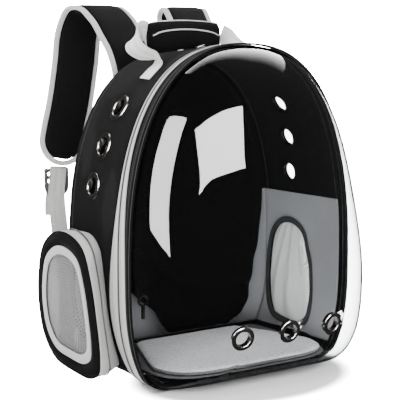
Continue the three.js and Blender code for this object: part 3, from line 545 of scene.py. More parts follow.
# %% Eyelets and pouch sizes
SIDE_EYELET = dict(hole=11.5 * MM, barrel=13 * MM, flange=18 * MM, thick=1.8 * MM)
SIDE_EYELET_PLACES = [(1 * MM, 342 * MM), (8 * MM, 295 * MM), (17 * MM, 245 * MM)]
FRONT_EYELET = dict(hole=9.5 * MM, barrel=10.6 * MM, flange=15 * MM, thick=1.6 * MM, washer=13 * MM)
FRONT_EYELET_Z = 77 * MM
FRONT_EYELET_SPACING = 68 * MM
EYELET_LAP = 0.4 * MM
POUCH = dict(y=13 * MM, z=102 * MM, half_depth=72 * MM, half_height=88 * MM,
             face_x=206 * MM, front_set=8 * MM, foot_set=5 * MM)
POUCH_OUTLINE = [
    (-1.0, -0.62), (-0.93, -0.1), (-0.8, 0.42), (-0.58, 0.83), (-0.12, 1.0), (0.36, 0.97), (0.76, 0.74),
    (0.96, 0.3), (1.0, -0.14), (0.86, -0.6), (0.5, -0.9), (-0.1, -0.99), (-0.68, -1.0), (-0.95, -0.88),
]
WINDOW = dict(depth=0.68, height=0.82, shift=6 * MM)
WINDOW_TRIM = dict(thick=1.2 * MM, reach=0.06, lap=0.04, off=1.3 * MM)


def pouch_outline(depth_share, height_share, shift=0.0, steps=120):
    rows = [
        Vector((0, POUCH["y"] + shift + depth * depth_share * POUCH["half_depth"],
                POUCH["z"] + height * height_share * POUCH["half_height"]))
        for depth, height in POUCH_OUTLINE
    ]
    return even_points(rows, steps, True)


def eyelet_seat(place):
    return Vector((wall_x(*place), *place)), wall_normal(*place)


# %% Opening holes in a cloth
def open_round(bm, centre, axis, radius):
    def flat(p):
        away = p - centre
        return away - axis * away.dot(axis)

    gone = [f for f in bm.faces if (f.calc_center_median() - centre).length < 3 * radius
            and flat(f.calc_center_median()).length < radius]
    bmesh.ops.delete(bm, geom=gone, context="FACES")
    rim = {v for e in bm.edges if e.is_boundary for v in e.verts
           if (v.co - centre).length < 2 * radius and flat(v.co).length < 1.6 * radius}
    for v in rim:
        away = flat(v.co)
        v.co += away.normalized() * (radius - away.length)


def inside_outline(y, z, outline):
    inside = False
    for a, b in zip(outline, outline[1:] + outline[:1]):
        if (a.z > z) != (b.z > z) and y < a.y + (b.y - a.y) * (z - a.z) / (b.z - a.z):
            inside = not inside
    return inside


def open_window(bm, outline, side, x_at):
    gone = []
    for f in bm.faces:
        p = f.calc_center_median()
        if p.x * side > 0.1 and inside_outline(p.y, p.z, outline):
            gone.append(f)
    bmesh.ops.delete(bm, geom=gone, context="FACES")
    rim = {v for e in bm.edges if e.is_boundary for v in e.verts if v.co.x * side > 0.1}
    for v in rim:
        near = min(outline, key=lambda q: (q.y - v.co.y) ** 2 + (q.z - v.co.z) ** 2)
        if (near.y - v.co.y) ** 2 + (near.z - v.co.z) ** 2 < (6.5 * MM) ** 2:
            v.co = Vector((side * x_at(near.y, near.z), near.y, near.z))


# %% Side wall
WALL_COLUMNS = 240
wall_front = arch_stations(MOUTH, WALL_COLUMNS)
wall_back = arch_stations(BACK, WALL_COLUMNS)


def on_arch(u, y, out):
    i = round(u * WALL_COLUMNS)
    share = (y - MOUTH_Y) / (BACK_Y - MOUTH_Y)
    p = wall_front[i][0].lerp(wall_back[i][0], share)
    normal = wall_front[i][1].lerp(wall_back[i][1], share).normalized()
    p = p + normal * out
    return Vector((p.x, y, p.z))


WAVES_PER_METRE = 11
WAVE_HEIGHT = 0.9 * MM


def wall_place(u, v):
    y = mix(MOUTH_Y, WALL_BACK_Y, v)
    p = on_arch(u, y, 0.0)
    slack = ease(y, -56 * MM, -30 * MM) * (1 - ease(y, 55 * MM, 72 * MM))
    wave = noise.noise(p * WAVES_PER_METRE) * WAVE_HEIGHT * slack
    return on_arch(u, y, wave - 0.2 * MM)


wall_cloth = cloth_finish("wall cloth", BLACK, wave=1.4, seams=[(5, 157.7)], pitch=3.4)
wall = mapped_grid(wall_place, WALL_COLUMNS, 36)
face_away(wall, (0, 0, 0.15))
for spot in SIDE_EYELET_PLACES:
    seat, away = eyelet_seat(spot)
    for side in (1, -1):
        mirror = Vector((side, 1, 1))
        open_round(wall, seat * mirror, away * mirror, SIDE_EYELET["barrel"] - EYELET_LAP)
window_outline = pouch_outline(WINDOW["depth"], WINDOW["height"], WINDOW["shift"])
for side in (1, -1):
    open_window(wall, window_outline, side, wall_x)
wall_piece = make_piece("side_wall_cloth", wall, wall_cloth, ("side_wall",))
thicken(wall_piece, WALL - 0.4 * MM, round_edge=0.8 * MM)

# %% [markdown]
# The back and the base
# The back lies against the wearer, so it is a padded panel with a stitched border. The same ring of points
# that closes the arch along its base gives its outline, drawn in towards the middle row by row.

# %% Back panel
RING_STEPS = 200
back_ring = ring_stations(BACK, RING_STEPS)


BACK_MIDDLE = Vector((0, 0, 0.2))
BACK_REACH = 160 * MM
BACK_BORDER = 6 * MM


def back_place(u, v):
    at = back_ring[round(u * RING_STEPS) % RING_STEPS][0]
    around = [(0.0, 6.0), (0.0, 4.5), (0.3, 2.2), (1.3, 0.8), (3.0, 0.1), (6.0, 0.0)]
    if v < 0.2:
        place = v / 0.2 * (len(around) - 1)
        i = min(int(place), len(around) - 2)
        inset = mix(around[i][0], around[i + 1][0], place - i) * MM
        depth = mix(around[i][1], around[i + 1][1], place - i) * MM
        share = 1 - inset / BACK_REACH
    else:
        share = (1 - BACK_BORDER / BACK_REACH) * (1 - (v - 0.2) / 0.8)
        border = ease(share, 0.80, 0.86)
        cushion = 3.2 * MM * (1 - ease(share, 0.55, 0.84))
        seam = 1.2 * MM * math.exp(-((share - 0.84) / 0.012) ** 2)
        groove = 2.4 * MM * math.exp(-((at.x * share) / (7 * MM)) ** 2) * (1 - border)
        depth = seam + groove - cushion
    p = BACK_MIDDLE + (Vector((at.x, 0, at.z)) - BACK_MIDDLE) * share
    return Vector((p.x, BACK_Y - depth, p.z))


back_cloth = cloth_finish("back cloth", PANEL_BLACK, warp=1.6, weft=1.6, grain=0.9, wave=0.8)
back = mapped_grid(back_place, RING_STEPS, 60, looped=True)
face_away(back, (0, 0, 0.2))
back_piece = make_piece("back_panel_cloth", back, back_cloth, ("back_panel",))
close = back_piece.modifiers.new("thickness", "SOLIDIFY")
close.thickness = 1.2 * MM
close.offset = -1.0

# %% Base panel
BASE_HALF = min(MOUTH["base_half_width"], BACK["base_half_width"]) - FOOT_CORNER - WALL - 2 * MM


def base_place(u, v):
    x = mix(-BASE_HALF, BASE_HALF, u)
    y = mix(MOUTH_Y, WALL_BACK_Y, v)
    edge = min(BASE_HALF - abs(x), y - MOUTH_Y, WALL_BACK_Y - y)
    lift = 1.6 * MM * (1 - ease(edge, 0, 9 * MM))
    quilt = 0.5 * MM * math.exp(-((edge - 16 * MM) / (1.6 * MM)) ** 2)
    return Vector((x, y, lift + quilt))


base = mapped_grid(base_place, 110, 70)
face_away(base, (0, 0, 0.2))
base_cloth = cloth_finish("base cloth", PANEL_BLACK, warp=1.3, weft=1.3, grain=0.8, seams=[(4, 157.7)])
base_piece = make_piece("base_panel_cloth", base, base_cloth, ("base_panel",))
thicken(base_piece, 5.2 * MM, round_edge=1.2 * MM)

# %% [markdown]
# The dome
# The clear bubble is the mouth's outline drawn in towards its foremost point. A polar grid would gather all
# its lines at that point and show it in every reflection, so a square grid is wrapped onto the outline
# instead.

# %% Dome surface
DOME_STEPS = 1200
dome_ring = ring_stations(MOUTH, DOME_STEPS, GAP)


def dome_forward(share, rise):
    up = ease(rise, -0.1, 0.8)
    draw = mix(DOME["side_power"], DOME["draw_top"], up)
    draw = mix(mix(2.1, draw, ease(share, 0, 0.3)), draw, ease(share, 0.1, 0.5))
    forward = mix(DOME["side_power"], DOME["forward_top"], up)
    return max(0.0, 1 - share ** draw) ** (1 / forward)


def rounder_share(at):
    """How far out towards a point of the mouth's outline the rounder outline of the dome's front lies."""
    def inside(share):
        z = DOME["centre_z"] + (at.z - DOME["centre_z"]) * share
        if z >= MOUTH["widest_at"]:
            return True
        return abs(at.x) * share <= side_at(z, MOUTH, DOME_FOOT["base_half_width"], DOME_FOOT["power"])

    if inside(1.0):
        return 1.0
    low, high = 0.5, 1.0
    for _ in range(20):
        middle = (low + high) / 2
        low, high = (middle, high) if inside(middle) else (low, middle)
    return low


dome_rounder = [rounder_share(at) for at, out in dome_ring]


def dome_point(share, i):
    at = dome_ring[i][0]
    rise = (at.z - DOME["centre_z"]) / math.hypot(at.x, at.z - DOME["centre_z"])
    depth = max(DOME["depth"] * dome_forward(share, rise), 1 * MM)
    reach = share * mix(dome_rounder[i], 1.0, share ** DOME_FOOT["spread"])
    return Vector((at.x * reach, MOUTH_Y - depth, DOME["centre_z"] + (at.z - DOME["centre_z"]) * reach))


def square_turn(a, b):
    reach = max(abs(a), abs(b))
    if reach < 1e-9:
        return 0.0, 0.0
    a, b = a / reach, b / reach
    if a >= 1 - 1e-9:
        turn = b / 8
    elif b >= 1 - 1e-9:
        turn = 0.25 - a / 8
    elif a <= -1 + 1e-9:
        turn = 0.5 - b / 8
    else:
        turn = 0.75 + a / 8
    return reach, turn % 1.0


def beside_centre(i):
    at = dome_ring[i][0]
    return abs(at.z - DOME["centre_z"]) - at.x


DOME_FIRST = min(range(DOME_STEPS), key=beside_centre)


def dome_place(u, v):
    reach, turn = square_turn(2 * u - 1, 2 * v - 1)
    share = math.sin(math.pi / 2 * reach) ** 0.77
    return dome_point(min(1.0, share), int(turn * DOME_STEPS + DOME_FIRST) % DOME_STEPS)


def dome_at(x, z):
    away = Vector((x, 0, z - DOME["centre_z"]))
    if away.length < 1e-6:
        return Vector((x, MOUTH_Y - DOME["depth"], z))
    bearing = away.normalized()

    def match(i):
        return (dome_ring[i][0] - Vector((0, 0, DOME["centre_z"]))).normalized().dot(bearing)

    near = max(range(DOME_STEPS), key=match)
    edge = dome_ring[near][0] - Vector((0, 0, DOME["centre_z"]))
    share = min(1.0, away.length / edge.length)
    for _ in range(20):
        rounder = mix(dome_rounder[near], 1.0, share ** DOME_FOOT["spread"])
        share = min(1.0, away.length / edge.length / rounder)
    return Vector((x, MOUTH_Y - DOME["depth"] * dome_forward(share, bearing.z), z))


def front_seat(place):
    x = place * FRONT_EYELET_SPACING
    step = 3 * MM
    across = dome_at(x + step, FRONT_EYELET_Z) - dome_at(x - step, FRONT_EYELET_Z)
    up = dome_at(x, FRONT_EYELET_Z + step) - dome_at(x, FRONT_EYELET_Z - step)
    return dome_at(x, FRONT_EYELET_Z), across.cross(up).normalized()


# %% Clear vinyl
FOOT_SHADE_TOP = 19 * MM
CLEAR = (0.97, 0.985, 0.99)
FOOT_SHADE_TINT = (0.72, 0.73, 0.75)


def clear_finish(name):
    finish, tree, shader = new_finish(name)
    height = parts_of(tree, object_place(tree))
    # Below FOOT_SHADE_TOP the vinyl's colour turns grey: painted shade at the dome's foot, not a tint of the
    # vinyl.
    below = maths(tree, "SUBTRACT", FOOT_SHADE_TOP, height["Z"])
    foot = maths(tree, "MULTIPLY", below, 400.0, clamp=True)
    tree.links.new(blend_colour(tree, foot, CLEAR, FOOT_SHADE_TINT), shader.inputs["Base Color"])
    shader.inputs["Roughness"].default_value = 0.02
    shader.inputs["IOR"].default_value = 1.45
    shader.inputs["Transmission Weight"].default_value = 1.0
    path = add_node(tree, "ShaderNodeLightPath")
    seen = maths(tree, "SUBTRACT", 1.0, maths(tree, "MULTIPLY", path.outputs["Is Shadow Ray"], 0.9))
    tree.links.new(seen, shader.inputs["Alpha"])
    place = object_place(tree)
    cloud = place_group(tree, UNEVEN, Place=place, Scale=9.0, Depth=0.1)
    tree.links.new(bumped(tree, cloud.outputs["Height"], 1.5 * MM, 0.35), shader.inputs["Normal"])
    return finish


clear_vinyl = clear_finish("clear vinyl")
dome_bm = mapped_grid(dome_place, 110, 110)
face_away(dome_bm, (0, 0, 0.15))
for place in (-1, 0, 1):
    seat, away = front_seat(place)
    open_round(dome_bm, seat, away, FRONT_EYELET["barrel"] - EYELET_LAP)
dome_piece = make_piece("dome_vinyl", dome_bm, clear_vinyl, ("dome",))
thicken(dome_piece, DOME["wall"])

# %% [markdown]
# Binding, tapes and zip
# A black binding holds the dome's edge. Behind it lie a light tape, the zip's coil and a second light tape
# that widens low on each side. They are bands of the same arch, a little further out than the wall.

# %% Dome binding
BINDING_STEPS = 300
binding_ring = ring_stations(MOUTH, BINDING_STEPS)


def binding_place(u, v):
    p, out = binding_ring[round(u * BINDING_STEPS) % BINDING_STEPS]
    swell = 0.5 * MM * math.sin(math.pi * v)
    p = p + out * (BINDING["thick"] - 0.2 * MM + swell)
    return Vector((p.x, MOUTH_Y - mix(0.3 * MM, BINDING["width"], v), p.z))


binding_cloth = cloth_finish(
    "binding cloth", BLACK, warp=0.8, weft=0.8, seams=[(3.0, 13.2)], thread=(0.09, 0.09, 0.09))
binding = mapped_grid(binding_place, BINDING_STEPS, 8, looped=True)
face_away(binding, (0, -0.09, 0.2))
binding_piece = make_piece("dome_binding_cloth", binding, binding_cloth, ("dome_binding",))
thicken(binding_piece, 2.0 * MM, round_edge=0.7 * MM)

# %% Zip tapes
TAPE = 1.2 * MM
TAPE_CROWN = 0.3 * MM
COIL_FRONT = MOUTH_Y + 16 * MM + GAP
COIL_WIDTH = 3.4 * MM
OUTER_TAPE_FRONT = COIL_FRONT + COIL_WIDTH + GAP


def inner_tape_front(z):
    return COIL_FRONT - mix(16 * MM, 5.5 * MM, ease(z, 110 * MM, 340 * MM))


def outer_tape_back(z):
    away = (z - 112 * MM) / (90 * MM)
    return OUTER_TAPE_FRONT + mix(2.5 * MM, 22 * MM, math.exp(-away * away))


def tape_band(front, back, rows):
    def place(u, v):
        z = on_arch(u, 0, 0).z
        y = mix(front(z), back(z), v)
        return on_arch(u, y, GAP + TAPE + TAPE_CROWN * math.sin(math.pi * v))

    bm = mapped_grid(place, WALL_COLUMNS, rows)
    face_away(bm, (0, 0, 0.15))
    return bm


tape_cloth = cloth_finish("light tape", LIGHT, warp=1.1, weft=0.8, grain=0.6, rough=0.8, depth=0.12)
tapes = (("inner", inner_tape_front, lambda z: COIL_FRONT - GAP),
         ("outer", lambda z: OUTER_TAPE_FRONT, outer_tape_back))
for name, front, back in tapes:
    node = f"door_zip_{name}_tape"
    band = tape_band(front, back, 8)
    tape_piece = make_piece(f"{node}_cloth", band, tape_cloth, (node,))
    thicken(tape_piece, TAPE, round_edge=0.4 * MM)

# %% [markdown]
# Zip coils
# A coil zip is a nylon wire wound in a flat spiral and sewn onto tape. The wire is a long thin grid rolled
# into a tube along that spiral, so each tooth is real and throws its own small shadow.

# %% Coil helper
def hard_finish(name, colour, rough, metallic=0.0, scale=60.0, depth=0.2, pits=0.1 * MM, grain=0.5):
    """Moulded plastic as it stands, or metal with its own numbers. Its shade and shine change slowly."""
    finish, tree, shader = new_finish(name)
    shader.inputs["Metallic"].default_value = metallic
    cloud = place_group(tree, UNEVEN, Place=object_place(tree), Scale=scale, Depth=depth)
    tree.links.new(tinted(tree, colour, cloud.outputs["Shade"]), shader.inputs["Base Color"])
    tree.links.new(maths(tree, "MULTIPLY", cloud.outputs["Shade"], rough), shader.inputs["Roughness"])
    tree.links.new(bumped(tree, cloud.outputs["Height"], pits, grain), shader.inputs["Normal"])
    return finish


coil_finish = hard_finish("zip coil", (0.045, 0.045, 0.04), 0.45)


COIL_SIDES = 5
COIL_BEATS = 8


def coil_tube(spine, turns, half_wide, half_high, wire):
    """spine(share) gives the middle, the across direction and the out direction of the coil."""
    rows = turns * COIL_BEATS

    def place(u, v):
        middle, across, out = spine(v)
        turn = 2 * math.pi * turns * v
        around = 2 * math.pi * u
        spoke = across * math.cos(turn) * half_wide + out * math.sin(turn) * half_high
        away = spoke.normalized() if spoke.length else out
        along = across.cross(out)
        return middle + spoke + (away * math.cos(around) + along * math.sin(around)) * wire

    bm = mapped_grid(place, COIL_SIDES, rows, looped=True)
    close_ends(bm)
    bmesh.ops.recalc_face_normals(bm, faces=bm.faces)
    return bm


COIL_STEPS = 1600
COIL_Y = COIL_FRONT + COIL_WIDTH / 2
fine_arch = arch_stations(arch_at(COIL_Y), COIL_STEPS)


def door_spine(share):
    place = share * COIL_STEPS
    i = min(int(place), COIL_STEPS - 1)
    p = fine_arch[i][0].lerp(fine_arch[i + 1][0], place - i)
    out = fine_arch[i][1].lerp(fine_arch[i + 1][1], place - i).normalized()
    middle = p + out * (GAP + 1.1 * MM)
    return Vector((middle.x, COIL_Y, middle.z)), Vector((0, 1, 0)), out


door_coil = coil_tube(door_spine, 560, 1.25 * MM, 0.62 * MM, 0.42 * MM)
make_piece("door_zip_coil_wire", door_coil, coil_finish, ("door_zip_coil",))

# %% [markdown]
# Metal
# The eyelets and the zip slider are plated steel: smooth where they are rounded and a little dull where
# fingers and air have been at them. The eyelets are turned shapes, so they are spun from half a profile.

# %% Metal finish
METAL = dict(metallic=1.0, scale=90.0, depth=0.5, pits=0.08 * MM, grain=0.4)
nickel = hard_finish("nickel", (0.30, 0.288, 0.268), 0.22, **METAL)

# %% Eyelets
def eyelet_bm(size, seat, away, through, washer=0.0):
    inside = -through - GAP
    hole, barrel, flange, thick = size["hole"], size["barrel"], size["flange"], size["thick"]
    rows = [
        (hole, inside - 0.5 * MM), (hole, GAP + 0.2 * thick), (hole + 0.15 * MM, GAP + 0.75 * thick),
        (mix(hole, flange, 0.12), GAP + 1.05 * thick), (mix(hole, flange, 0.3), GAP + 1.2 * thick),
        (mix(hole, flange, 0.55), GAP + 1.12 * thick), (mix(hole, flange, 0.8), GAP + 0.8 * thick),
        (mix(hole, flange, 0.95), GAP + 0.4 * thick), (flange, GAP + 0.12 * thick), (flange - 0.2 * MM, GAP),
        (barrel, GAP), (barrel, inside),
    ]
    if washer:
        rows += [(washer, inside), (washer, inside - 0.8 * thick), (hole + 0.6 * MM, inside - thick)]
    else:
        rows += [(barrel, inside - 0.5 * MM)]
    bm = bmesh.new()
    ring = [bm.verts.new((r, 0, z)) for r, z in rows]
    edges = [bm.edges.new((a, b)) for a, b in zip(ring, ring[1:] + ring[:1])]
    bmesh.ops.spin(bm, geom=ring + edges, cent=(0, 0, 0), axis=(0, 0, 1), angle=2 * math.pi, steps=48,
                   use_merge=True)
    bmesh.ops.recalc_face_normals(bm, faces=bm.faces)
    turn = Vector((0, 0, 1)).rotation_difference(away).to_matrix().to_4x4()
    bmesh.ops.transform(bm, matrix=Matrix.Translation(seat) @ turn, verts=bm.verts)
    return bm


for row, spot in enumerate(SIDE_EYELET_PLACES, 1):
    seat, away = eyelet_seat(spot)
    for side, word in ((1, "right"), (-1, "left")):
        mirror = Vector((side, 1, 1))
        ring_bm = eyelet_bm(SIDE_EYELET, seat * mirror, away * mirror, WALL)
        node = f"eyelet_{word}_{row}"
        make_piece(f"{node}_ring", ring_bm, nickel, (node,))
for place in (-1, 0, 1):
    seat, away = front_seat(place)
    ring_bm = eyelet_bm(FRONT_EYELET, seat, away, DOME["wall"] + 3 * MM, FRONT_EYELET["washer"])
    node = f"eyelet_front_{place + 2}"
    make_piece(f"{node}_ring", ring_bm, nickel, (node,))

# %% [markdown]
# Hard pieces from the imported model
# The ladder locks, the slider and the tether clip have the right shape already, with sharp edges. A copy of
# each mesh is merged and its edges are rounded, because moulded and cast pieces never have a razor edge.

# %% Rounded copies
def rounded_copy(node, finish, edge):
    bm = bmesh.new()
    bm.from_mesh(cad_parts[node].data)
    bmesh.ops.remove_doubles(bm, verts=bm.verts, dist=1e-5)
    bmesh.ops.dissolve_limit(bm, angle_limit=math.radians(1), verts=bm.verts, edges=bm.edges)
    bmesh.ops.recalc_face_normals(bm, faces=bm.faces)
    piece = make_piece(f"{node}_rounded", bm, finish, (node,))
    soft = piece.modifiers.new("soft edge", "BEVEL")
    soft.width = edge
    soft.segments = 3
    soft.limit_method = "ANGLE"
    soft.angle_limit = math.radians(35)
    soft.harden_normals = True
    return piece


black_plastic = hard_finish("black plastic", (0.02, 0.02, 0.021), 0.38)
for side in ("right", "left"):
    rounded_copy(f"ladder_lock_{side}", black_plastic, 0.7 * MM)
rounded_copy("door_zip_slider", nickel, 0.5 * MM)
dark_metal = hard_finish("blackened metal", (0.05, 0.05, 0.052), 0.3, **METAL)
rounded_copy("tether_clip", dark_metal, 0.2 * MM)

# %% [markdown]
# The pouches
# Each pouch is a padded ring of black cloth, a light trim round its opening, a grey mesh behind that, and a
# gusset with a zip that joins the face to the wall. All of them run round one outline.

# %% Pouch helpers
POUCH_STEPS = 120
FACE_THICK = 3 * MM


def face_x(y, z):
    forward = (POUCH["y"] - y) / POUCH["half_depth"]
    down = (POUCH["z"] - z) / POUCH["half_height"]
    return POUCH["face_x"] - POUCH["front_set"] * (1 + forward) / 2 - POUCH["foot_set"] * (1 + down) / 2


pouch_rim = pouch_outline(1, 1, 0, POUCH_STEPS)


def on_face(u, share, proud):
    at = pouch_rim[round(u * POUCH_STEPS) % POUCH_STEPS]
    y = mix(POUCH["y"], at.y, share)
    z = mix(POUCH["z"], at.z, share)
    return Vector((face_x(y, z) + proud, y, z))


def section_line(rows, v):
    place = v * (len(rows) - 1)
    i = min(int(place), len(rows) - 2)
    a, b = rows[i], rows[i + 1]
    return mix(a[0], b[0], place - i), mix(a[1], b[1], place - i)


def ring_section(rows):
    """A closed ring whose section is given as (share of the outline, distance out of the face in mm)."""
    reach = 80
    smooth = even_points([Vector((share * reach, proud, 0)) for share, proud in rows], 2 * len(rows), True)
    smooth.append(smooth[0])

    def place(u, v):
        p = smooth[round(v * (len(smooth) - 1))]
        return on_face(u, p.x / reach, p.y * MM)

    bm = mapped_grid(place, POUCH_STEPS, len(smooth) - 1, looped=True)
    bmesh.ops.recalc_face_normals(bm, faces=bm.faces)
    return bm


# %% Pouch face and trim
face_cloth = cloth_finish("pouch face cloth", BLACK, warp=0.9, weft=0.9, wave=0.8)
face_rows = [
    (1.0, -3.0), (1.005, -1.5), (0.99, 0.3), (0.965, 1.3), (0.945, 0.9), (0.93, 1.4), (0.88, 2.0),
    (0.82, 1.0), (0.78, 0.2), (0.745, 0.0), (0.735, -1.0), (0.74, -2.6), (0.8, -3.0), (0.9, -3.0),
]
for piece in make_pair("pouch_face", ring_section(face_rows), face_cloth):
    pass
trim_cloth = cloth_finish("pouch trim cloth", LIGHT, warp=1.0, weft=1.0, grain=0.5, depth=0.12)
trim_rows = [
    (0.8, 0.4), (0.802, 1.2), (0.793, 1.9), (0.77, 2.1), (0.74, 2.15), (0.71, 2.1), (0.688, 1.9), (0.68, 1.2),
    (0.682, 0.5), (0.71, 0.4), (0.74, 0.4), (0.77, 0.4),
]
make_pair("pouch_trim", ring_section(trim_rows), trim_cloth)


# %% Mesh finish
HEXAGON = 1.732
MESH_THICK = 0.5 * MM


def mesh_finish(name, colour, cell, hole, weave_dark=0.55):
    finish, tree, shader = new_finish(name)
    shader.inputs["Roughness"].default_value = 0.7
    shader.inputs["Sheen Weight"].default_value = 0.3
    cut = add_node(tree, "ShaderNodeUVMap", uv_map="cut").outputs[0]
    place = object_place(tree)
    cloud = place_group(tree, UNEVEN, Place=place, Scale=20.0, Depth=0.2)
    nearest = None
    for shift in (0.0, 0.5):
        move = add_node(tree, "ShaderNodeMapping")
        move.inputs["Scale"].default_value = (1 / cell, 1 / (cell * HEXAGON), 1)
        move.inputs["Location"].default_value = (shift, shift, 0)
        tree.links.new(cut, move.inputs["Vector"])
        split = parts_of(tree, move.outputs[0])
        x = maths(tree, "SUBTRACT", maths(tree, "FRACT", split["X"]), 0.5)
        y = maths(tree, "SUBTRACT", maths(tree, "FRACT", split["Y"]), 0.5)
        y = maths(tree, "MULTIPLY", y, HEXAGON)
        squares = maths(tree, "ADD", maths(tree, "POWER", x, 2.0), maths(tree, "POWER", y, 2.0))
        away = maths(tree, "SQRT", squares)
        nearest = away if nearest is None else maths(tree, "MINIMUM", nearest, away)
    cloth = maths(tree, "GREATER_THAN", nearest, hole)
    edge = maths(tree, "MULTIPLY", maths(tree, "SUBTRACT", nearest, hole), 2.2, clamp=True)
    woven = maths(tree, "ADD", maths(tree, "MULTIPLY", edge, 1 - weave_dark), weave_dark)
    shade = maths(tree, "MULTIPLY", woven, cloud.outputs["Shade"])
    tree.links.new(tinted(tree, colour, shade), shader.inputs["Base Color"])
    tree.links.new(cloth, shader.inputs["Alpha"])
    tree.links.new(bumped(tree, nearest, 0.6 * MM, 0.5), shader.inputs["Normal"])
    return finish


pouch_mesh_finish = mesh_finish("pouch mesh", (0.20, 0.20, 0.197), 4.2 * MM, 0.33)


# %% Pouch mesh
def disc_place(rim, middle, lift):
    def place(u, v):
        reach, turn = square_turn(2 * u - 1, 2 * v - 1)
        at = rim[int(turn * len(rim)) % len(rim)]
        y = mix(middle.y, at.y, reach)
        z = mix(middle.z, at.z, reach)
        return lift(y, z, reach)

    return place


mesh_rim = pouch_outline(0.72, 0.72, 0, 720)


def pouch_mesh_lift(y, z, reach):
    fold = math.sin((y * 0.8 + z * 0.55) * 95) * 0.7 * MM * (1 - reach ** 4) * ease(-y, -0.03, 0.03)
    sag = 1.6 * MM * (1 - reach ** 2)
    return Vector((face_x(y, z) - 2.4 * MM + sag + fold, y, z))


POUCH_MIDDLE = Vector((0, POUCH["y"], POUCH["z"]))
pouch_mesh_bm = mapped_grid(disc_place(mesh_rim, POUCH_MIDDLE, pouch_mesh_lift), 64, 64)
face_away(pouch_mesh_bm, (0, 0, 0.1))
mesh_area = cloth_area(pouch_mesh_bm)
for piece in make_pair("pouch_mesh", pouch_mesh_bm, pouch_mesh_finish):
    thicken(piece, MESH_THICK, offset=0.0)
    under = piece.name.replace("mesh", "trim")

# %% Pouch gusset
GUSSET_FOOT = dict(depth=0.76, height=0.94, shift=6 * MM)
gusset_foot = pouch_outline(GUSSET_FOOT["depth"], GUSSET_FOOT["height"], GUSSET_FOOT["shift"], POUCH_STEPS)
GUSSET_THICK = 1.6 * MM


def gusset_point(u, share, draw):
    i = round(u * POUCH_STEPS) % POUCH_STEPS
    foot, rim = gusset_foot[i].copy(), pouch_rim[i].copy()

    def drawn(p):
        return p + (POUCH_MIDDLE - p).normalized() * draw

    foot, rim = drawn(foot), drawn(rim)
    foot.x = wall_x(foot.y, foot.z) + 2 * GAP
    rim.x = face_x(pouch_rim[i].y, pouch_rim[i].z) - FACE_THICK - GAP
    return foot.lerp(rim, share)


def gusset_place(u, v):
    return gusset_point(u, v, -2.2 * MM * math.sin(math.pi * v))


gusset_cloth = cloth_finish("gusset cloth", LIGHT, warp=1.0, weft=1.0, depth=0.14)
gusset = mapped_grid(gusset_place, POUCH_STEPS, 20, looped=True)
face_away(gusset, (0.19, POUCH["y"], POUCH["z"]))
for piece in make_pair("pouch_gusset", gusset, gusset_cloth):
    thicken(piece, GUSSET_THICK)


def pouch_spine(share):
    place = share * POUCH_STEPS
    i = int(place) % POUCH_STEPS
    a = gusset_point(i / POUCH_STEPS, 0.55, -2.3 * MM)
    b = gusset_point((i + 1) / POUCH_STEPS, 0.55, -2.3 * MM)
    middle = a.lerp(b, place - int(place))
    along = (b - a).normalized()
    rise = gusset_point(i / POUCH_STEPS, 0.6, 0) - gusset_point(i / POUCH_STEPS, 0.5, 0)
    out = along.cross(rise).normalized()
    if out.dot(middle - Vector((middle.x, POUCH["y"], POUCH["z"]))) < 0:
        out = -out
    return middle + out * 0.9 * MM, out.cross(along).normalized(), out


pouch_coil = coil_tube(pouch_spine, 300, 1.35 * MM, 0.55 * MM, 0.4 * MM)
make_pair("pouch_zip_coil", pouch_coil, coil_finish)

# %% [markdown]
# Windows and lining
# Behind each pouch the wall is open and a pale mesh hangs in that window, cut large so that it falls into
# the cabin in soft folds. A grey lining covers the lower walls and the back up to one height.

# %% Window trim and mesh
LINING = dict(thick=1.0 * MM, top=215 * MM, foot=22 * MM, off=0.5 * MM)
INNER_FACE = -WALL - LINING["off"] - LINING["thick"] - WINDOW_TRIM["off"]


def on_wall_out(y, z, proud):
    return Vector((wall_x(y, z), y, z)) + wall_normal(y, z) * proud


outlines = {}


def grown_window(grow):
    key = round(grow, 4)
    if key not in outlines:
        depth, height = WINDOW["depth"] + grow, WINDOW["height"] + grow
        outlines[key] = pouch_outline(depth, height, WINDOW["shift"], POUCH_STEPS)
    return outlines[key]


def window_ring_place(u, v):
    grow = mix(WINDOW_TRIM["reach"], -WINDOW_TRIM["lap"], v)
    at = grown_window(grow)[round(u * POUCH_STEPS) % POUCH_STEPS]
    return on_wall_out(at.y, at.z, INNER_FACE)


window_tape = cloth_finish("window trim cloth", (0.035, 0.036, 0.038), warp=0.9, weft=0.9)
window_trim = mapped_grid(window_ring_place, POUCH_STEPS, 5, looped=True)
face_away(window_trim, (0.3, 0.013, 0.1))
for piece in make_pair("window_trim", window_trim, window_tape):
    thicken(piece, WINDOW_TRIM["thick"], offset=1.0, round_edge=0.4 * MM)

window_mesh_finish = mesh_finish("window mesh", (0.78, 0.78, 0.77), 1.6 * MM, 0.2, weave_dark=0.8)
window_rim = pouch_outline(WINDOW["depth"] * 0.985, WINDOW["height"] * 0.985, WINDOW["shift"], 720)
window_middle = Vector((0, POUCH["y"] + WINDOW["shift"], POUCH["z"]))


def window_mesh_lift(y, z, reach):
    x = wall_x(y, z) - WALL / 2
    hang = mix(18 * MM, 9 * MM, ease(z, 50 * MM, 150 * MM)) * (1 - reach ** 2.2)
    fan = (y - window_middle.y) / (0.225 - z)
    fold = 2.6 * MM * math.sin(fan * 30 + 0.8) * (1 - reach ** 6) * ease(reach, 0.02, 0.3)
    return Vector((x - hang + fold, y, z))


window_mesh_bm = mapped_grid(disc_place(window_rim, window_middle, window_mesh_lift), 72, 72)
face_away(window_mesh_bm, (0, 0, 0.1))
window_area = cloth_area(window_mesh_bm)
for piece in make_pair("window_mesh", window_mesh_bm, window_mesh_finish):
    thicken(piece, MESH_THICK, offset=0.0)
    under = piece.name.replace("mesh", "trim")

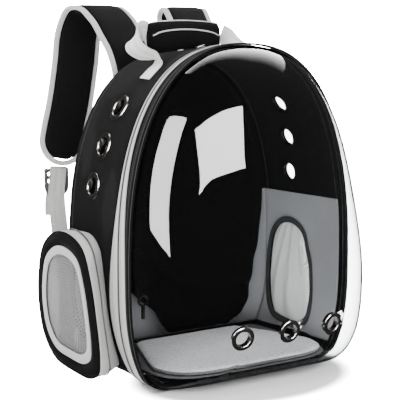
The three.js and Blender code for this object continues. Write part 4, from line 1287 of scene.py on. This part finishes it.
# %% Lower lining
lining_cloth = cloth_finish(
    "lining cloth", (0.25, 0.255, 0.265), warp=0.8, weft=0.8, grain=0.3, sheen=0.05, wave=0.5)
LINING_IN = -WALL - LINING["off"] - 0.4 * MM


def lining_height(share):
    return mix(LINING["foot"], LINING["top"], share)


def side_lining(side):
    def place(u, v):
        z = lining_height(v)
        y = mix(MOUTH_Y + 1 * MM, WALL_BACK_Y - 2 * GAP, u)
        p = on_wall_out(y, z, LINING_IN)
        return Vector((side * p.x, y, z))

    bm = mapped_grid(place, 44, 54)
    open_window(bm, window_outline, side, lambda y, z: on_wall_out(y, z, LINING_IN).x)
    face_away(bm, (-side * 1.0, 0, 0.1))
    bmesh.ops.reverse_faces(bm, faces=bm.faces)
    return bm


def back_lining_place(u, v):
    z = lining_height(v)
    half = half_width(z, BACK) - WALL - LINING["off"] - 0.5 * MM
    return Vector((mix(-half, half, u), WALL_BACK_Y - 2 * GAP, z))


def back_lining():
    bm = mapped_grid(back_lining_place, 60, 40)
    face_away(bm, (0, 1, 0.1))
    return bm


LINING_TALL = LINING["top"] - LINING["foot"] + 4 * MM
linings = (("right", side_lining(1), WALL_BACK_Y - MOUTH_Y, "side_wall_cloth"),
           ("left", side_lining(-1), WALL_BACK_Y - MOUTH_Y, "side_wall_cloth"),
           ("back", back_lining(), 2 * 156 * MM, "back_panel_cloth"))
for name, bm, wide, under in linings:
    area = min(cloth_area(bm), wide * LINING_TALL)
    piece = make_piece(f"lower_lining_{name}", bm, lining_cloth, ("lower_lining",))
    thicken(piece, LINING["thick"] - 0.2 * MM, offset=0.0)

# %% [markdown]
# Floor and back board
# A stiff board covered in cloth lies on the base, and a plush pad lies on it. The back board is a padded
# panel whose lower corners are rounded, so it shows as a dark U against the lining.

# %% Floor outline
FLOOR_BOARD = dict(bottom=BASE_PANEL + GAP, top=19.7 * MM, clear=3.5 * MM, back=68 * MM, half_width=132 * MM)
FLOOR_PAD = dict(thick=8 * MM, inset=9 * MM, corner=46 * MM, back=50 * MM, back_half_width=84 * MM)


def dome_inside(z):
    reach = DOME["wall"] + FLOOR_BOARD["clear"]
    return dome_at(0, z - reach).y + reach


OUTLINE_STEPS = 160
REAR_RUN = 17 * MM
REAR_TURN = 14 * MM


def bezier(a, b, c, d, steps):
    line = []
    for i in range(steps):
        t = i / steps
        line.append((1 - t) ** 3 * a + 3 * (1 - t) ** 2 * t * b + 3 * (1 - t) * t * t * c + t ** 3 * d)
    return line


def floor_outline(z, inset, back, back_half):
    half = min(FLOOR_BOARD["half_width"], half_width(z, BACK) - WALL - 4 * MM) - inset
    front = dome_inside(z) + inset
    rear = min(half, back_half)
    corner = FLOOR_PAD["corner"]
    turn_y = max(front + corner * 1.25, MOUTH_Y + 10 * MM)
    rear_x = mix(half, rear, 0.88)

    def at(x, y):
        return Vector((x, y, 0))

    line = [at(rear - REAR_TURN, back), at(0, back)]
    line += bezier(at(-rear + REAR_TURN, back), at(-rear + 4 * MM, back), at(-rear, back - 3 * MM),
                   at(-rear_x, back - REAR_RUN), 6)
    line += [at(-rear_x, back - REAR_RUN)]
    line += bezier(at(-half, turn_y), at(-half, front + corner * 0.4),
                   at(-half + corner * 0.5, front), at(-half + corner * 1.5, front), 12)
    line += [at(0, front)]
    line += bezier(at(half - corner * 1.5, front), at(half - corner * 0.5, front),
                   at(half, front + corner * 0.4), at(half, turn_y), 12)
    line += [at(half, turn_y)]
    line += bezier(at(rear_x, back - REAR_RUN), at(rear, back - 3 * MM), at(rear - 4 * MM, back),
                   at(rear - REAR_TURN, back), 6)
    clean = [line[0]]
    for p in line[1:]:
        if (p - clean[-1]).length > 1.5 * MM and (p - line[0]).length > 1.5 * MM:
            clean.append(p)
    return even_points(clean, OUTLINE_STEPS, True)


def slab(outline_at, rows, middle):
    """A closed slab: rows are (share of the outline, height), from the middle below to the middle above."""
    count = len(outline_at(rows[0][1]))

    def place(u, v):
        share, z = section_line(rows, v)
        at = outline_at(z)[round(u * count) % count]
        p = middle + (at - middle) * share
        return Vector((p.x, p.y, z))

    bm = mapped_grid(place, count, len(rows) - 1, looped=True)
    bmesh.ops.recalc_face_normals(bm, faces=bm.faces)
    return bm


# %% Floor board
board_cloth = cloth_finish("board cloth", (0.16, 0.165, 0.17), warp=0.9, weft=0.9, wave=0.6)
low, high = FLOOR_BOARD["bottom"], FLOOR_BOARD["top"]
board_levels = [(low, 7 * MM), (mix(low, high, 0.45), 6 * MM), (high, 3 * MM)]
board_lines = [floor_outline(z, inset, FLOOR_BOARD["back"], FLOOR_BOARD["half_width"])
               for z, inset in board_levels]
lines_made = {}


def board_line_at(z):
    key = round(z, 6)
    if key not in lines_made:
        i = 0 if z < board_levels[1][0] else 1
        share = (z - board_levels[i][0]) / (board_levels[i + 1][0] - board_levels[i][0])
        lines_made[key] = [a.lerp(b, share) for a, b in zip(board_lines[i], board_lines[i + 1])]
    return lines_made[key]


board_rows = [(0.001, low), (0.5, low), (0.97, low), (0.99, low + 0.8 * MM), (0.995, mix(low, high, 0.5)),
              (0.995, high - 1 * MM), (0.975, high), (0.9, high), (0.5, high), (0.001, high)]
board_bm = slab(board_line_at, board_rows, Vector((0, -20 * MM, 0)))
make_piece("floor_board_cloth", board_bm, board_cloth, ("floor_board",))

# %% Floor pad
pad_low = FLOOR_BOARD["top"] + GAP
pad_line = floor_outline(pad_low, FLOOR_PAD["inset"], FLOOR_PAD["back"], FLOOR_PAD["back_half_width"])
PAD_SECTION = [(0.001, 0), (0.5, 0), (0.95, 0.05), (0.985, 0.2), (1.0, 0.42), (0.99, 0.72), (0.965, 0.92),
               (0.93, 1.0), (0.85, 1.06), (0.7, 1.1), (0.4, 1.13), (0.001, 1.13)]
PAD_SIDE = 0.72
pad_rows = [(share, pad_low + height * FLOOR_PAD["thick"]) for share, height in PAD_SECTION]


def plush_finish(name, colour):
    finish, tree, shader = new_finish(name)
    shader.inputs["Roughness"].default_value = 0.95
    shader.inputs["Sheen Weight"].default_value = 0.6
    shader.inputs["Sheen Roughness"].default_value = 0.5
    place = object_place(tree)
    tufts = add_node(tree, "ShaderNodeTexVoronoi")
    tufts.inputs["Scale"].default_value = 260.0
    tree.links.new(place, tufts.inputs["Vector"])
    cloud = place_group(tree, UNEVEN, Place=place, Scale=30.0, Depth=0.3)
    dark = maths(tree, "SUBTRACT", 1.05, maths(tree, "MULTIPLY", tufts.outputs["Distance"], 0.45))
    shade = maths(tree, "MULTIPLY", dark, cloud.outputs["Shade"])
    height = parts_of(tree, place)
    side = maths(tree, "LESS_THAN", height["Z"], FLOOR_BOARD["top"] + PAD_SIDE * FLOOR_PAD["thick"])
    look = blend_colour(tree, side, tinted(tree, colour, shade), (0.12, 0.123, 0.128))
    tree.links.new(look, shader.inputs["Base Color"])
    soft = bumped(tree, cloud.outputs["Height"], 3 * MM, 0.6)
    tree.links.new(bumped(tree, tufts.outputs["Distance"], -1.2 * MM, 0.7, soft), shader.inputs["Normal"])
    return finish


plush = plush_finish("plush", (0.80, 0.81, 0.84))
pad_bm = slab(lambda z: pad_line, pad_rows, Vector((0, -35 * MM, 0)))
pad_piece = make_piece("floor_pad_cloth", pad_bm, plush, ("floor_pad",))
smoother(pad_piece)

# %% Back board
BOARD_SHAPE = [
    (30, 48, 24, 51), (42, 66, 32, 54.5), (58, 77, 35, 58), (84, 95, 24, 61.5), (122, 121, 8, 64),
    (170, 138, 1, 65), (238, 142, 0, 65), (290, 133, 0, 65), (330, 116, 0, 65), (362, 92, 0, 65),
    (384, 65, 0, 65), (396, 38, 0, 65),
]
BOARD_STEPS = 80
BOARD_MIDDLE = 4.5 * MM
BOARD_FOOT = 28.7 * MM
board_half = even_points([Vector((half, front, height)) * MM for height, half, shift, front in BOARD_SHAPE],
                         BOARD_STEPS)
board_shift = [(height * MM, shift * MM) for height, half, shift, front in BOARD_SHAPE]


def shift_at(z):
    for (low_z, low_shift), (high_z, high_shift) in zip(board_shift, board_shift[1:]):
        if z <= high_z:
            return mix(low_shift, high_shift, ease(z, low_z, high_z))
    return 0.0


def board_place(u, v):
    p = board_half[round(v * BOARD_STEPS)]
    turn = 2 * math.pi * u
    side, out = math.cos(turn), math.sin(turn)
    x = p.x * math.copysign(abs(side) ** 0.35, side)
    edge = ease(1 - abs(x) / p.x, 0, 0.12) * ease(min(v, 1 - v), 0, 0.04)
    seam = 1.0 * MM * math.exp(-(((p.x - abs(x)) - 9 * MM) / (1.6 * MM)) ** 2)
    swell = 1.6 * MM + 2.9 * MM * edge - seam
    depth = BOARD_MIDDLE
    if abs(out) > 1e-6:
        depth -= math.copysign(swell, out)
    return Vector((x + shift_at(p.z), p.y + depth, max(p.z, BOARD_FOOT)))


back_board_cloth = cloth_finish("back board cloth", (0.001, 0.001, 0.0011), grain=0.25, wave=0.3)
back_board = mapped_grid(board_place, 72, BOARD_STEPS, looped=True)
close_ends(back_board)
bmesh.ops.recalc_face_normals(back_board, faces=back_board.faces)
board_piece = make_piece("back_board_cloth", back_board, back_board_cloth, ("back_board",))

# %% [markdown]
# Straps, webbing and handle
# Straps and webbing are bands that follow a line. Each place on the line has a direction along it, one
# across the band and one out of its face, and a section is laid out on those three.

# %% Band helpers
def level_frames(points, steps):
    line = even_points([Vector(p) * MM for p in points], steps)
    rows = []
    for i, at in enumerate(line):
        before, after = line[max(0, i - 1)], line[min(steps, i + 1)]
        along = (after - before).normalized()
        face = Vector((1, 0, 0)).cross(along).normalized()
        rows.append((at, along.cross(face).normalized(), face))
    return rows


def soft_power(value, power):
    return math.copysign(abs(value) ** power, value)


def band_bm(rows, half_wide, half_thick, sides=28, side_power=0.3, out_power=0.6):
    """rows are (middle, across, out); the half sizes are numbers or functions of the share along."""
    last = len(rows) - 1

    def place(u, v):
        at, across, out = rows[round(v * last)]
        turn = 2 * math.pi * (u + 0.25)
        wide = half_wide(v) if callable(half_wide) else half_wide
        thick = half_thick(v) if callable(half_thick) else half_thick
        side = across * wide * soft_power(math.cos(turn), side_power)
        return at + side + out * thick * soft_power(math.sin(turn), out_power)

    bm = mapped_grid(place, sides, last, looped=True)
    close_ends(bm)
    bmesh.ops.recalc_face_normals(bm, faces=bm.faces)
    return bm


# %% Strap sizes
STRAP = dict(width=70 * MM, thick=10 * MM, edge=7 * MM, edge_thick=6 * MM)
STRAP_PATH = [
    (50, 87.4, 366), (53, 89, 390), (56, 97, 412), (59, 114, 433), (62, 132, 453), (68, 156, 468),
    (75, 180, 464), (82, 193, 436), (89, 191.5, 394), (98, 192, 342), (108, 194, 296), (117, 190, 254),
]
STRAP_STEPS = 150
CORE_HALF = STRAP["width"] / 2 - STRAP["edge"] - GAP
strap_rows = level_frames(STRAP_PATH, STRAP_STEPS)
strap_length = line_length([row[0] for row in strap_rows])
ROUND_START = strap_length - STRAP["width"] / 2
print("strap", round(strap_length, 3), "m long")

# %% Strap pads
def pad_half(v):
    past = max(0.0, v * strap_length - ROUND_START) / (CORE_HALF - 3 * GAP)
    return CORE_HALF * math.sqrt(max(0.0004, 1 - min(past, 1) ** 2)) if past > 0 else CORE_HALF


pad_length_steps = int(STRAP_STEPS * (ROUND_START + CORE_HALF - 3 * GAP) / strap_length)
pad_rows_line = strap_rows[:pad_length_steps + 1]
pad_share = pad_length_steps / STRAP_STEPS
strap_cloth = cloth_finish("strap cloth", BLACK, warp=1.0, weft=1.0, wave=1.0, along="Y")
strap_pad = band_bm(pad_rows_line, lambda v: pad_half(v * pad_share), lambda v: 5.2 * MM, 32, 0.5, 0.55)
for piece in make_pair("strap_pad", strap_pad, strap_cloth):
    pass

# %% Strap edges
def strap_point(distance, side):
    share = min(distance / strap_length, 1) * STRAP_STEPS
    i = min(int(share), STRAP_STEPS - 1)
    a, b = strap_rows[i], strap_rows[i + 1]
    across = a[1].lerp(b[1], share - i).normalized()
    out = a[2].lerp(b[2], share - i).normalized()
    return a[0].lerp(b[0], share - i) + across * side, across, out


edge_rows = []
edge_reach = CORE_HALF + GAP + STRAP["edge"] / 2
straight = int(ROUND_START / strap_length * STRAP_STEPS)
for i in range(straight + 1):
    at, across, out = strap_point(i * strap_length / STRAP_STEPS, edge_reach)
    edge_rows.append((at, across, out))
for i in range(25):
    turn = math.pi / 2 - math.pi * i / 24
    at, across, out = strap_point(ROUND_START + edge_reach * math.cos(turn), edge_reach * math.sin(turn))
    middle = strap_point(ROUND_START, 0)[0]
    edge_rows.append((at, (at - middle).normalized(), out))
for i in range(straight, -1, -1):
    at, across, out = strap_point(i * strap_length / STRAP_STEPS, -edge_reach)
    edge_rows.append((at, -across, out))
strap_tape = cloth_finish("strap tape", LIGHT, warp=1.0, weft=0.8, grain=0.6, depth=0.12, along="Y")
strap_edge = band_bm(edge_rows, STRAP["edge"] / 2, STRAP["edge_thick"] / 2, 16, 0.45, 0.5)
make_pair("strap_edge", strap_edge, strap_tape)

# %% Lower webbing
WEBBING = dict(width=25 * MM, thick=1.8 * MM)
WEBBING_PATH = [(118, 192.5, 252.8), (119.5, 192.6, 236), (122, 192, 214), (127, 178, 186), (131, 158, 140),
                (135, 118, 76), (136.5, 92, 44), (137, 84.2, 30), (137, 83.5, 18)]
TAIL_PATH = [(121.5, 200, 216), (124, 199, 200), (126.5, 194, 184)]
WEBBING_LOOK = dict(warp=2.2, weft=0.9, grain=0.9, depth=0.15, along="Y")


def webbing_bm(rows):
    return band_bm(rows, WEBBING["width"] / 2, WEBBING["thick"] / 2, 24, 0.16, 0.8)


grey_webbing = cloth_finish("grey webbing", (0.50, 0.50, 0.485), **WEBBING_LOOK)
for name, path, steps in (("strap_webbing", WEBBING_PATH, 80), ("webbing_tail", TAIL_PATH, 16)):
    make_pair(name, webbing_bm(level_frames(path, steps)), grey_webbing)

# %% Handle webbing
HANDLE_RIGHT = [
    ((24, -2, 434), (0, 0, 1)), ((33, -4, 430), (0.1, 0.1, 1)), ((50, -8, 421), (0.4, 0.8, 0.7)),
    ((68, -13, 413), (0.2, 1, 0.3)), ((-18, 398, 5), (0.1, 1, 0)), ((-21, 388, 2.9), (0.1, 1, 0)),
    ((-22, 377, 2.6), (0.1, 1, 0)),
]
HANDLE_LEFT = [
    ((-88.5, -3, 436), (0, 0, 1)), ((-97, -5, 438), (-0.1, -0.2, 1)), ((-108, -9, 431), (0.3, -0.5, 1)),
    ((-113, -14, 419), (0.5, -0.8, 0.6)), ((-104, -19, 410), (0.2, -1, 0.7)), ((-91, -22, 406), (0, -1, 0.4)),
    ((-84, -24, 401), (-0.2, -1, -0.1)), ((-24, 393, 3.4), (-0.1, -1, 0)), ((-23, 387, 2.4), (0, -1, 0)),
    ((-22, 377, 2.2), (0, -1, 0)),
]


def twisted_rows(table, side, steps, free):
    """The first free rows of the table are points, the rest lie on the wall as (y, z, distance out)."""
    places = []
    for i, (at, across) in enumerate(table):
        if i < free:
            places.append(Vector(at) * MM)
        else:
            p = on_wall_out(at[0] * MM, at[1] * MM, at[2] * MM)
            places.append(Vector((side * p.x, p.y, p.z)))
    widths = [Vector(across) for at, across in table]
    rows = []
    for i in range(steps + 1):
        share = i / steps
        along = line_point(places, min(1, share + 0.002)) - line_point(places, max(0, share - 0.002))
        face = line_point(widths, share).cross(along).normalized()
        rows.append((line_point(places, share), along.cross(face).normalized(), face))
    return rows


handle_webbing = cloth_finish("light webbing", (0.72, 0.72, 0.705), **WEBBING_LOOK)
for name, table, side, steps, free in (("right", HANDLE_RIGHT, 1, 70, 4), ("left", HANDLE_LEFT, -1, 120, 7)):
    bm = webbing_bm(twisted_rows(table, side, steps, free))
    node = f"handle_webbing_{name}"
    make_piece(f"{node}_cloth", bm, handle_webbing, (node,))

# %% Handle grip
GRIP = dict(length=104 * MM, thick=17 * MM, x=-33 * MM, y=-2 * MM, z=433.5 * MM, arch=2.5 * MM,
            up=15 * MM, down_right=21 * MM, down_left=27 * MM)


def grip_place(u, v):
    share = 2 * v - 1
    turn = 2 * math.pi * u
    end = (1 - abs(share) ** 14) ** 0.25 if abs(share) < 1 else 0.0
    end = mix(0.72, 1, end)
    rise = soft_power(math.sin(turn), 0.75)
    below = mix(GRIP["down_right"], GRIP["down_left"], ease(-share, -0.4, 0.9))
    half = below if rise < 0 else GRIP["up"]
    z = GRIP["z"] + GRIP["arch"] * (1 - share * share) + half * 0.97 * end * rise
    y = GRIP["y"] + GRIP["thick"] / 2 * 0.95 * end * soft_power(math.cos(turn), 0.8)
    return Vector((GRIP["x"] + GRIP["length"] / 2 * share, y, z))


grip_cloth = cloth_finish("grip cloth", BLACK, warp=0.9, weft=0.9, wave=1.2)
grip = mapped_grid(grip_place, 40, 60, looped=True)
close_ends(grip)
bmesh.ops.recalc_face_normals(grip, faces=grip.faces)
grip_piece = make_piece("handle_grip_cloth", grip, grip_cloth, ("handle_grip",))

# %% Grip piping
def piping_rows(start, droop):
    line = []
    for i in range(41):
        share = i / 40
        line.append(grip_place(start + droop * (2 * share - 1) ** 2, 0.02 + 0.96 * share))
    rows = []
    for i, at in enumerate(line):
        along = (line[min(40, i + 1)] - line[max(0, i - 1)]).normalized()
        out = Vector((0, -1, 0.4)).normalized()
        rows.append((at, along.cross(out).normalized(), out))
    return rows


piping_cloth = cloth_finish("piping cloth", (0.5, 0.5, 0.49), warp=0.7, weft=0.7, along="Y")
for name, start, droop in (("top", 0.285, 0.02), ("front", 0.478, 0.03)):
    piping = band_bm(piping_rows(start, droop), 0.9 * MM, 0.9 * MM, 10, 1.0, 1.0)
    make_piece(f"handle_grip_piping_{name}", piping, piping_cloth)

# %% Tether
TETHER_PATH = [(-72, 63.2, 150), (-71, 59, 120), (-69, 50.5, 90.1)]
tether_cloth = cloth_finish("tether webbing", BLACK, warp=1.8, weft=0.8, grain=0.8, along="Y")
tether = band_bm(level_frames(TETHER_PATH, 30), 7.5 * MM, 0.8 * MM, 20, 0.16, 0.8)
make_piece("tether_webbing_cloth", tether, tether_cloth, ("tether_webbing",))

# %% [markdown]
# The camera
# The photograph was taken from the carrier's front left, a little above its middle, with a long lens. The
# frame was not centred on the carrier, so the lens is shifted a little.

# %% Camera
AIM = Vector((0, -0.082, 0.200))
DISTANCE = 1.474
TURN = math.radians(35)
TILT = math.radians(8.5)
camera_data = bpy.data.cameras.new("photo camera")
camera_data.lens = 104.8
camera_data.sensor_width = 36
camera_data.shift_x = -0.102
camera_data.shift_y = 0.051
camera_data.clip_start = 0.05
camera = bpy.data.objects.new("photo camera", camera_data)
bpy.context.scene.collection.objects.link(camera)
away = Vector((-math.sin(TURN) * math.cos(TILT), -math.cos(TURN) * math.cos(TILT), math.sin(TILT)))
camera.location = AIM + away * DISTANCE
camera.rotation_euler = (-away).to_track_quat("-Z", "Y").to_euler()
bpy.context.scene.camera = camera

# %% [markdown]
# Floor and light
# The studio is plain: a pale floor with a painted soft shadow close to the bag, a bright surround that only
# the camera sees, and soft lamps from above, from the left and from the right.

# %% Floor
def seen_straight(tree):
    """1 for what the camera sees straight on or through the clear vinyl, 0 after any bounce."""
    ray = add_node(tree, "ShaderNodeLightPath")
    diffuse = maths(tree, "LESS_THAN", ray.outputs["Diffuse Depth"], 0.5)
    glossy = maths(tree, "LESS_THAN", ray.outputs["Glossy Depth"], 0.5)
    return maths(tree, "MULTIPLY", diffuse, glossy)


FLOOR_SHADE = dict(half_x=150 * MM, half_y=120 * MM, middle_y=-85 * MM, start=0.78, rise=2.2)
FLOOR_GLOW = 45.0
PALE = (0.88, 0.88, 0.88)


def floor_finish():
    finish, tree, shader = new_finish("studio floor")
    shader.inputs["Roughness"].default_value = 0.9
    shader.inputs["Specular IOR Level"].default_value = 0.1
    seen = seen_straight(tree)
    ray = add_node(tree, "ShaderNodeLightPath")
    direct = maths(tree, "LESS_THAN", ray.outputs["Glossy Depth"], 0.5)
    tree.links.new(blend_colour(tree, direct, (0, 0, 0), PALE), shader.inputs["Base Color"])
    # The floor's glow is dimmed in an ellipse round the bag's foot: a painted contact shadow.
    place = parts_of(tree, object_place(tree))
    away_x = maths(tree, "ABSOLUTE", place["X"])
    away_y = maths(tree, "ABSOLUTE", maths(tree, "SUBTRACT", place["Y"], FLOOR_SHADE["middle_y"]))
    across = maths(tree, "POWER", maths(tree, "DIVIDE", away_x, FLOOR_SHADE["half_x"]), 2.0)
    along = maths(tree, "POWER", maths(tree, "DIVIDE", away_y, FLOOR_SHADE["half_y"]), 2.0)
    past = maths(tree, "SUBTRACT", maths(tree, "ADD", across, along), FLOOR_SHADE["start"])
    clear = maths(tree, "POWER", maths(tree, "MULTIPLY", past, FLOOR_SHADE["rise"], clamp=True), 2.0)
    level = maths(tree, "MULTIPLY", maths(tree, "MULTIPLY", seen, clear), FLOOR_GLOW)
    tree.links.new(level, shader.inputs["Emission Strength"])
    shader.inputs["Emission Color"].default_value = (1, 1, 1, 1)
    return finish


floor_bm = bmesh.new()
bmesh.ops.create_grid(floor_bm, x_segments=2, y_segments=2, size=6)
studio_floor = linked("studio_floor", floor_bm, floor_finish())
studio_floor.location.z = cad_box[0][2] - 0.5 * MM
studio_floor.visible_glossy = False

# %% Light
SKY = dict(seen=60.0, fill=0.9, rest=0.05)
world = bpy.data.worlds.new("studio")
world.use_nodes = True
bpy.context.scene.world = world
air = world.node_tree
sky = air.nodes["Background"]
ray = add_node(air, "ShaderNodeLightPath")
seen = maths(air, "MULTIPLY", seen_straight(air), SKY["seen"])
bounced = maths(air, "MINIMUM", ray.outputs["Diffuse Depth"], 1.0)
lit = maths(air, "MULTIPLY", bounced, SKY["fill"])
level = maths(air, "ADD", maths(air, "ADD", seen, lit), SKY["rest"])
air.links.new(level, sky.inputs["Strength"])
sky.inputs["Color"].default_value = (1, 1, 1, 1)


LIGHT_AIM = Vector((0, 0, 0.2))


def panel_light(name, at, width, height, power):
    """A lamp that lights cloth but shows in no reflection, also not in the vinyl's inner face."""
    data = bpy.data.lights.new(name, "AREA")
    data.shape = "RECTANGLE"
    data.size = width
    data.size_y = height
    data.energy = power
    lamp = bpy.data.objects.new(name, data)
    lamp.location = at
    lamp.rotation_euler = (LIGHT_AIM - Vector(at)).to_track_quat("-Z", "Y").to_euler()
    lamp.visible_glossy = False
    lamp.visible_transmission = False
    bpy.context.scene.collection.objects.link(lamp)


panel_light("top light", (-0.3, -0.5, 2.2), 2.0, 2.0, 62)
panel_light("left light", (-2.0, -1.2, 1.2), 1.2, 1.6, 36)
panel_light("right light", (1.9, -1.6, 1.0), 1.0, 1.6, 18)

# %% [markdown]
# Panels for the dome
# A clear dome is drawn by what it reflects. Three white panels stand where their corners come back to the
# camera as the bright window, the bright strip and the soft band on top. Only reflections see them.

# %% Reflected panels
def glow_finish(name, strength, fade):
    finish, tree, shader = new_finish(name)
    shader.inputs["Base Color"].default_value = (0, 0, 0, 1)
    shader.inputs["Specular IOR Level"].default_value = 0.0
    shader.inputs["Emission Color"].default_value = (1, 1, 1, 1)
    split = parts_of(tree, add_node(tree, "ShaderNodeUVMap", uv_map="share").outputs[0])
    ray = add_node(tree, "ShaderNodeLightPath")
    outer = maths(tree, "LESS_THAN", ray.outputs["Transmission Depth"], 0.5)
    rise = maths(tree, "POWER", split["Y"], fade)
    level = maths(tree, "MULTIPLY", maths(tree, "MULTIPLY", outer, rise), strength)
    tree.links.new(level, shader.inputs["Emission Strength"])
    return finish


def reflected_panel(name, corners, strength, fade=0.0):
    top_left, top_right, low_right, low_left = (Vector(c) for c in corners)
    bm = flat_grid(6, 6)
    layer = bm.loops.layers.uv.new("share")
    for face in bm.faces:
        for loop in face.loops:
            loop[layer].uv = (loop.vert.co.x + 0.5, loop.vert.co.y + 0.5)
    for v in bm.verts:
        u, t = v.co.x + 0.5, v.co.y + 0.5
        v.co = low_left.lerp(low_right, u).lerp(top_left.lerp(top_right, u), t)
    panel = linked(name, bm, glow_finish(name, strength, fade))
    for kind in ("camera", "diffuse", "transmission", "volume_scatter", "shadow"):
        setattr(panel, f"visible_{kind}", False)


reflected_panel(
    "window_panel",
    [(-0.747, -1.192, 1.171), (0.421, -1.221, 1.288), (0.255, -1.567, 0.73), (-0.717, -1.483, 0.589)], 52)
reflected_panel(
    "strip_panel",
    [(-1.259, -0.176, 1.316), (-0.921, -0.902, 1.332), (-1.446, -0.876, 0.348), (-1.65, -0.01, 0.338)], 40)
reflected_panel(
    "top_panel",
    [(-0.5, 0.75, 1.75), (1.25, 0.6, 1.25), (1.111, -0.449, 1.372), (-0.458, 0.075, 1.828)], 26, 1.5)
print("three reflected panels")
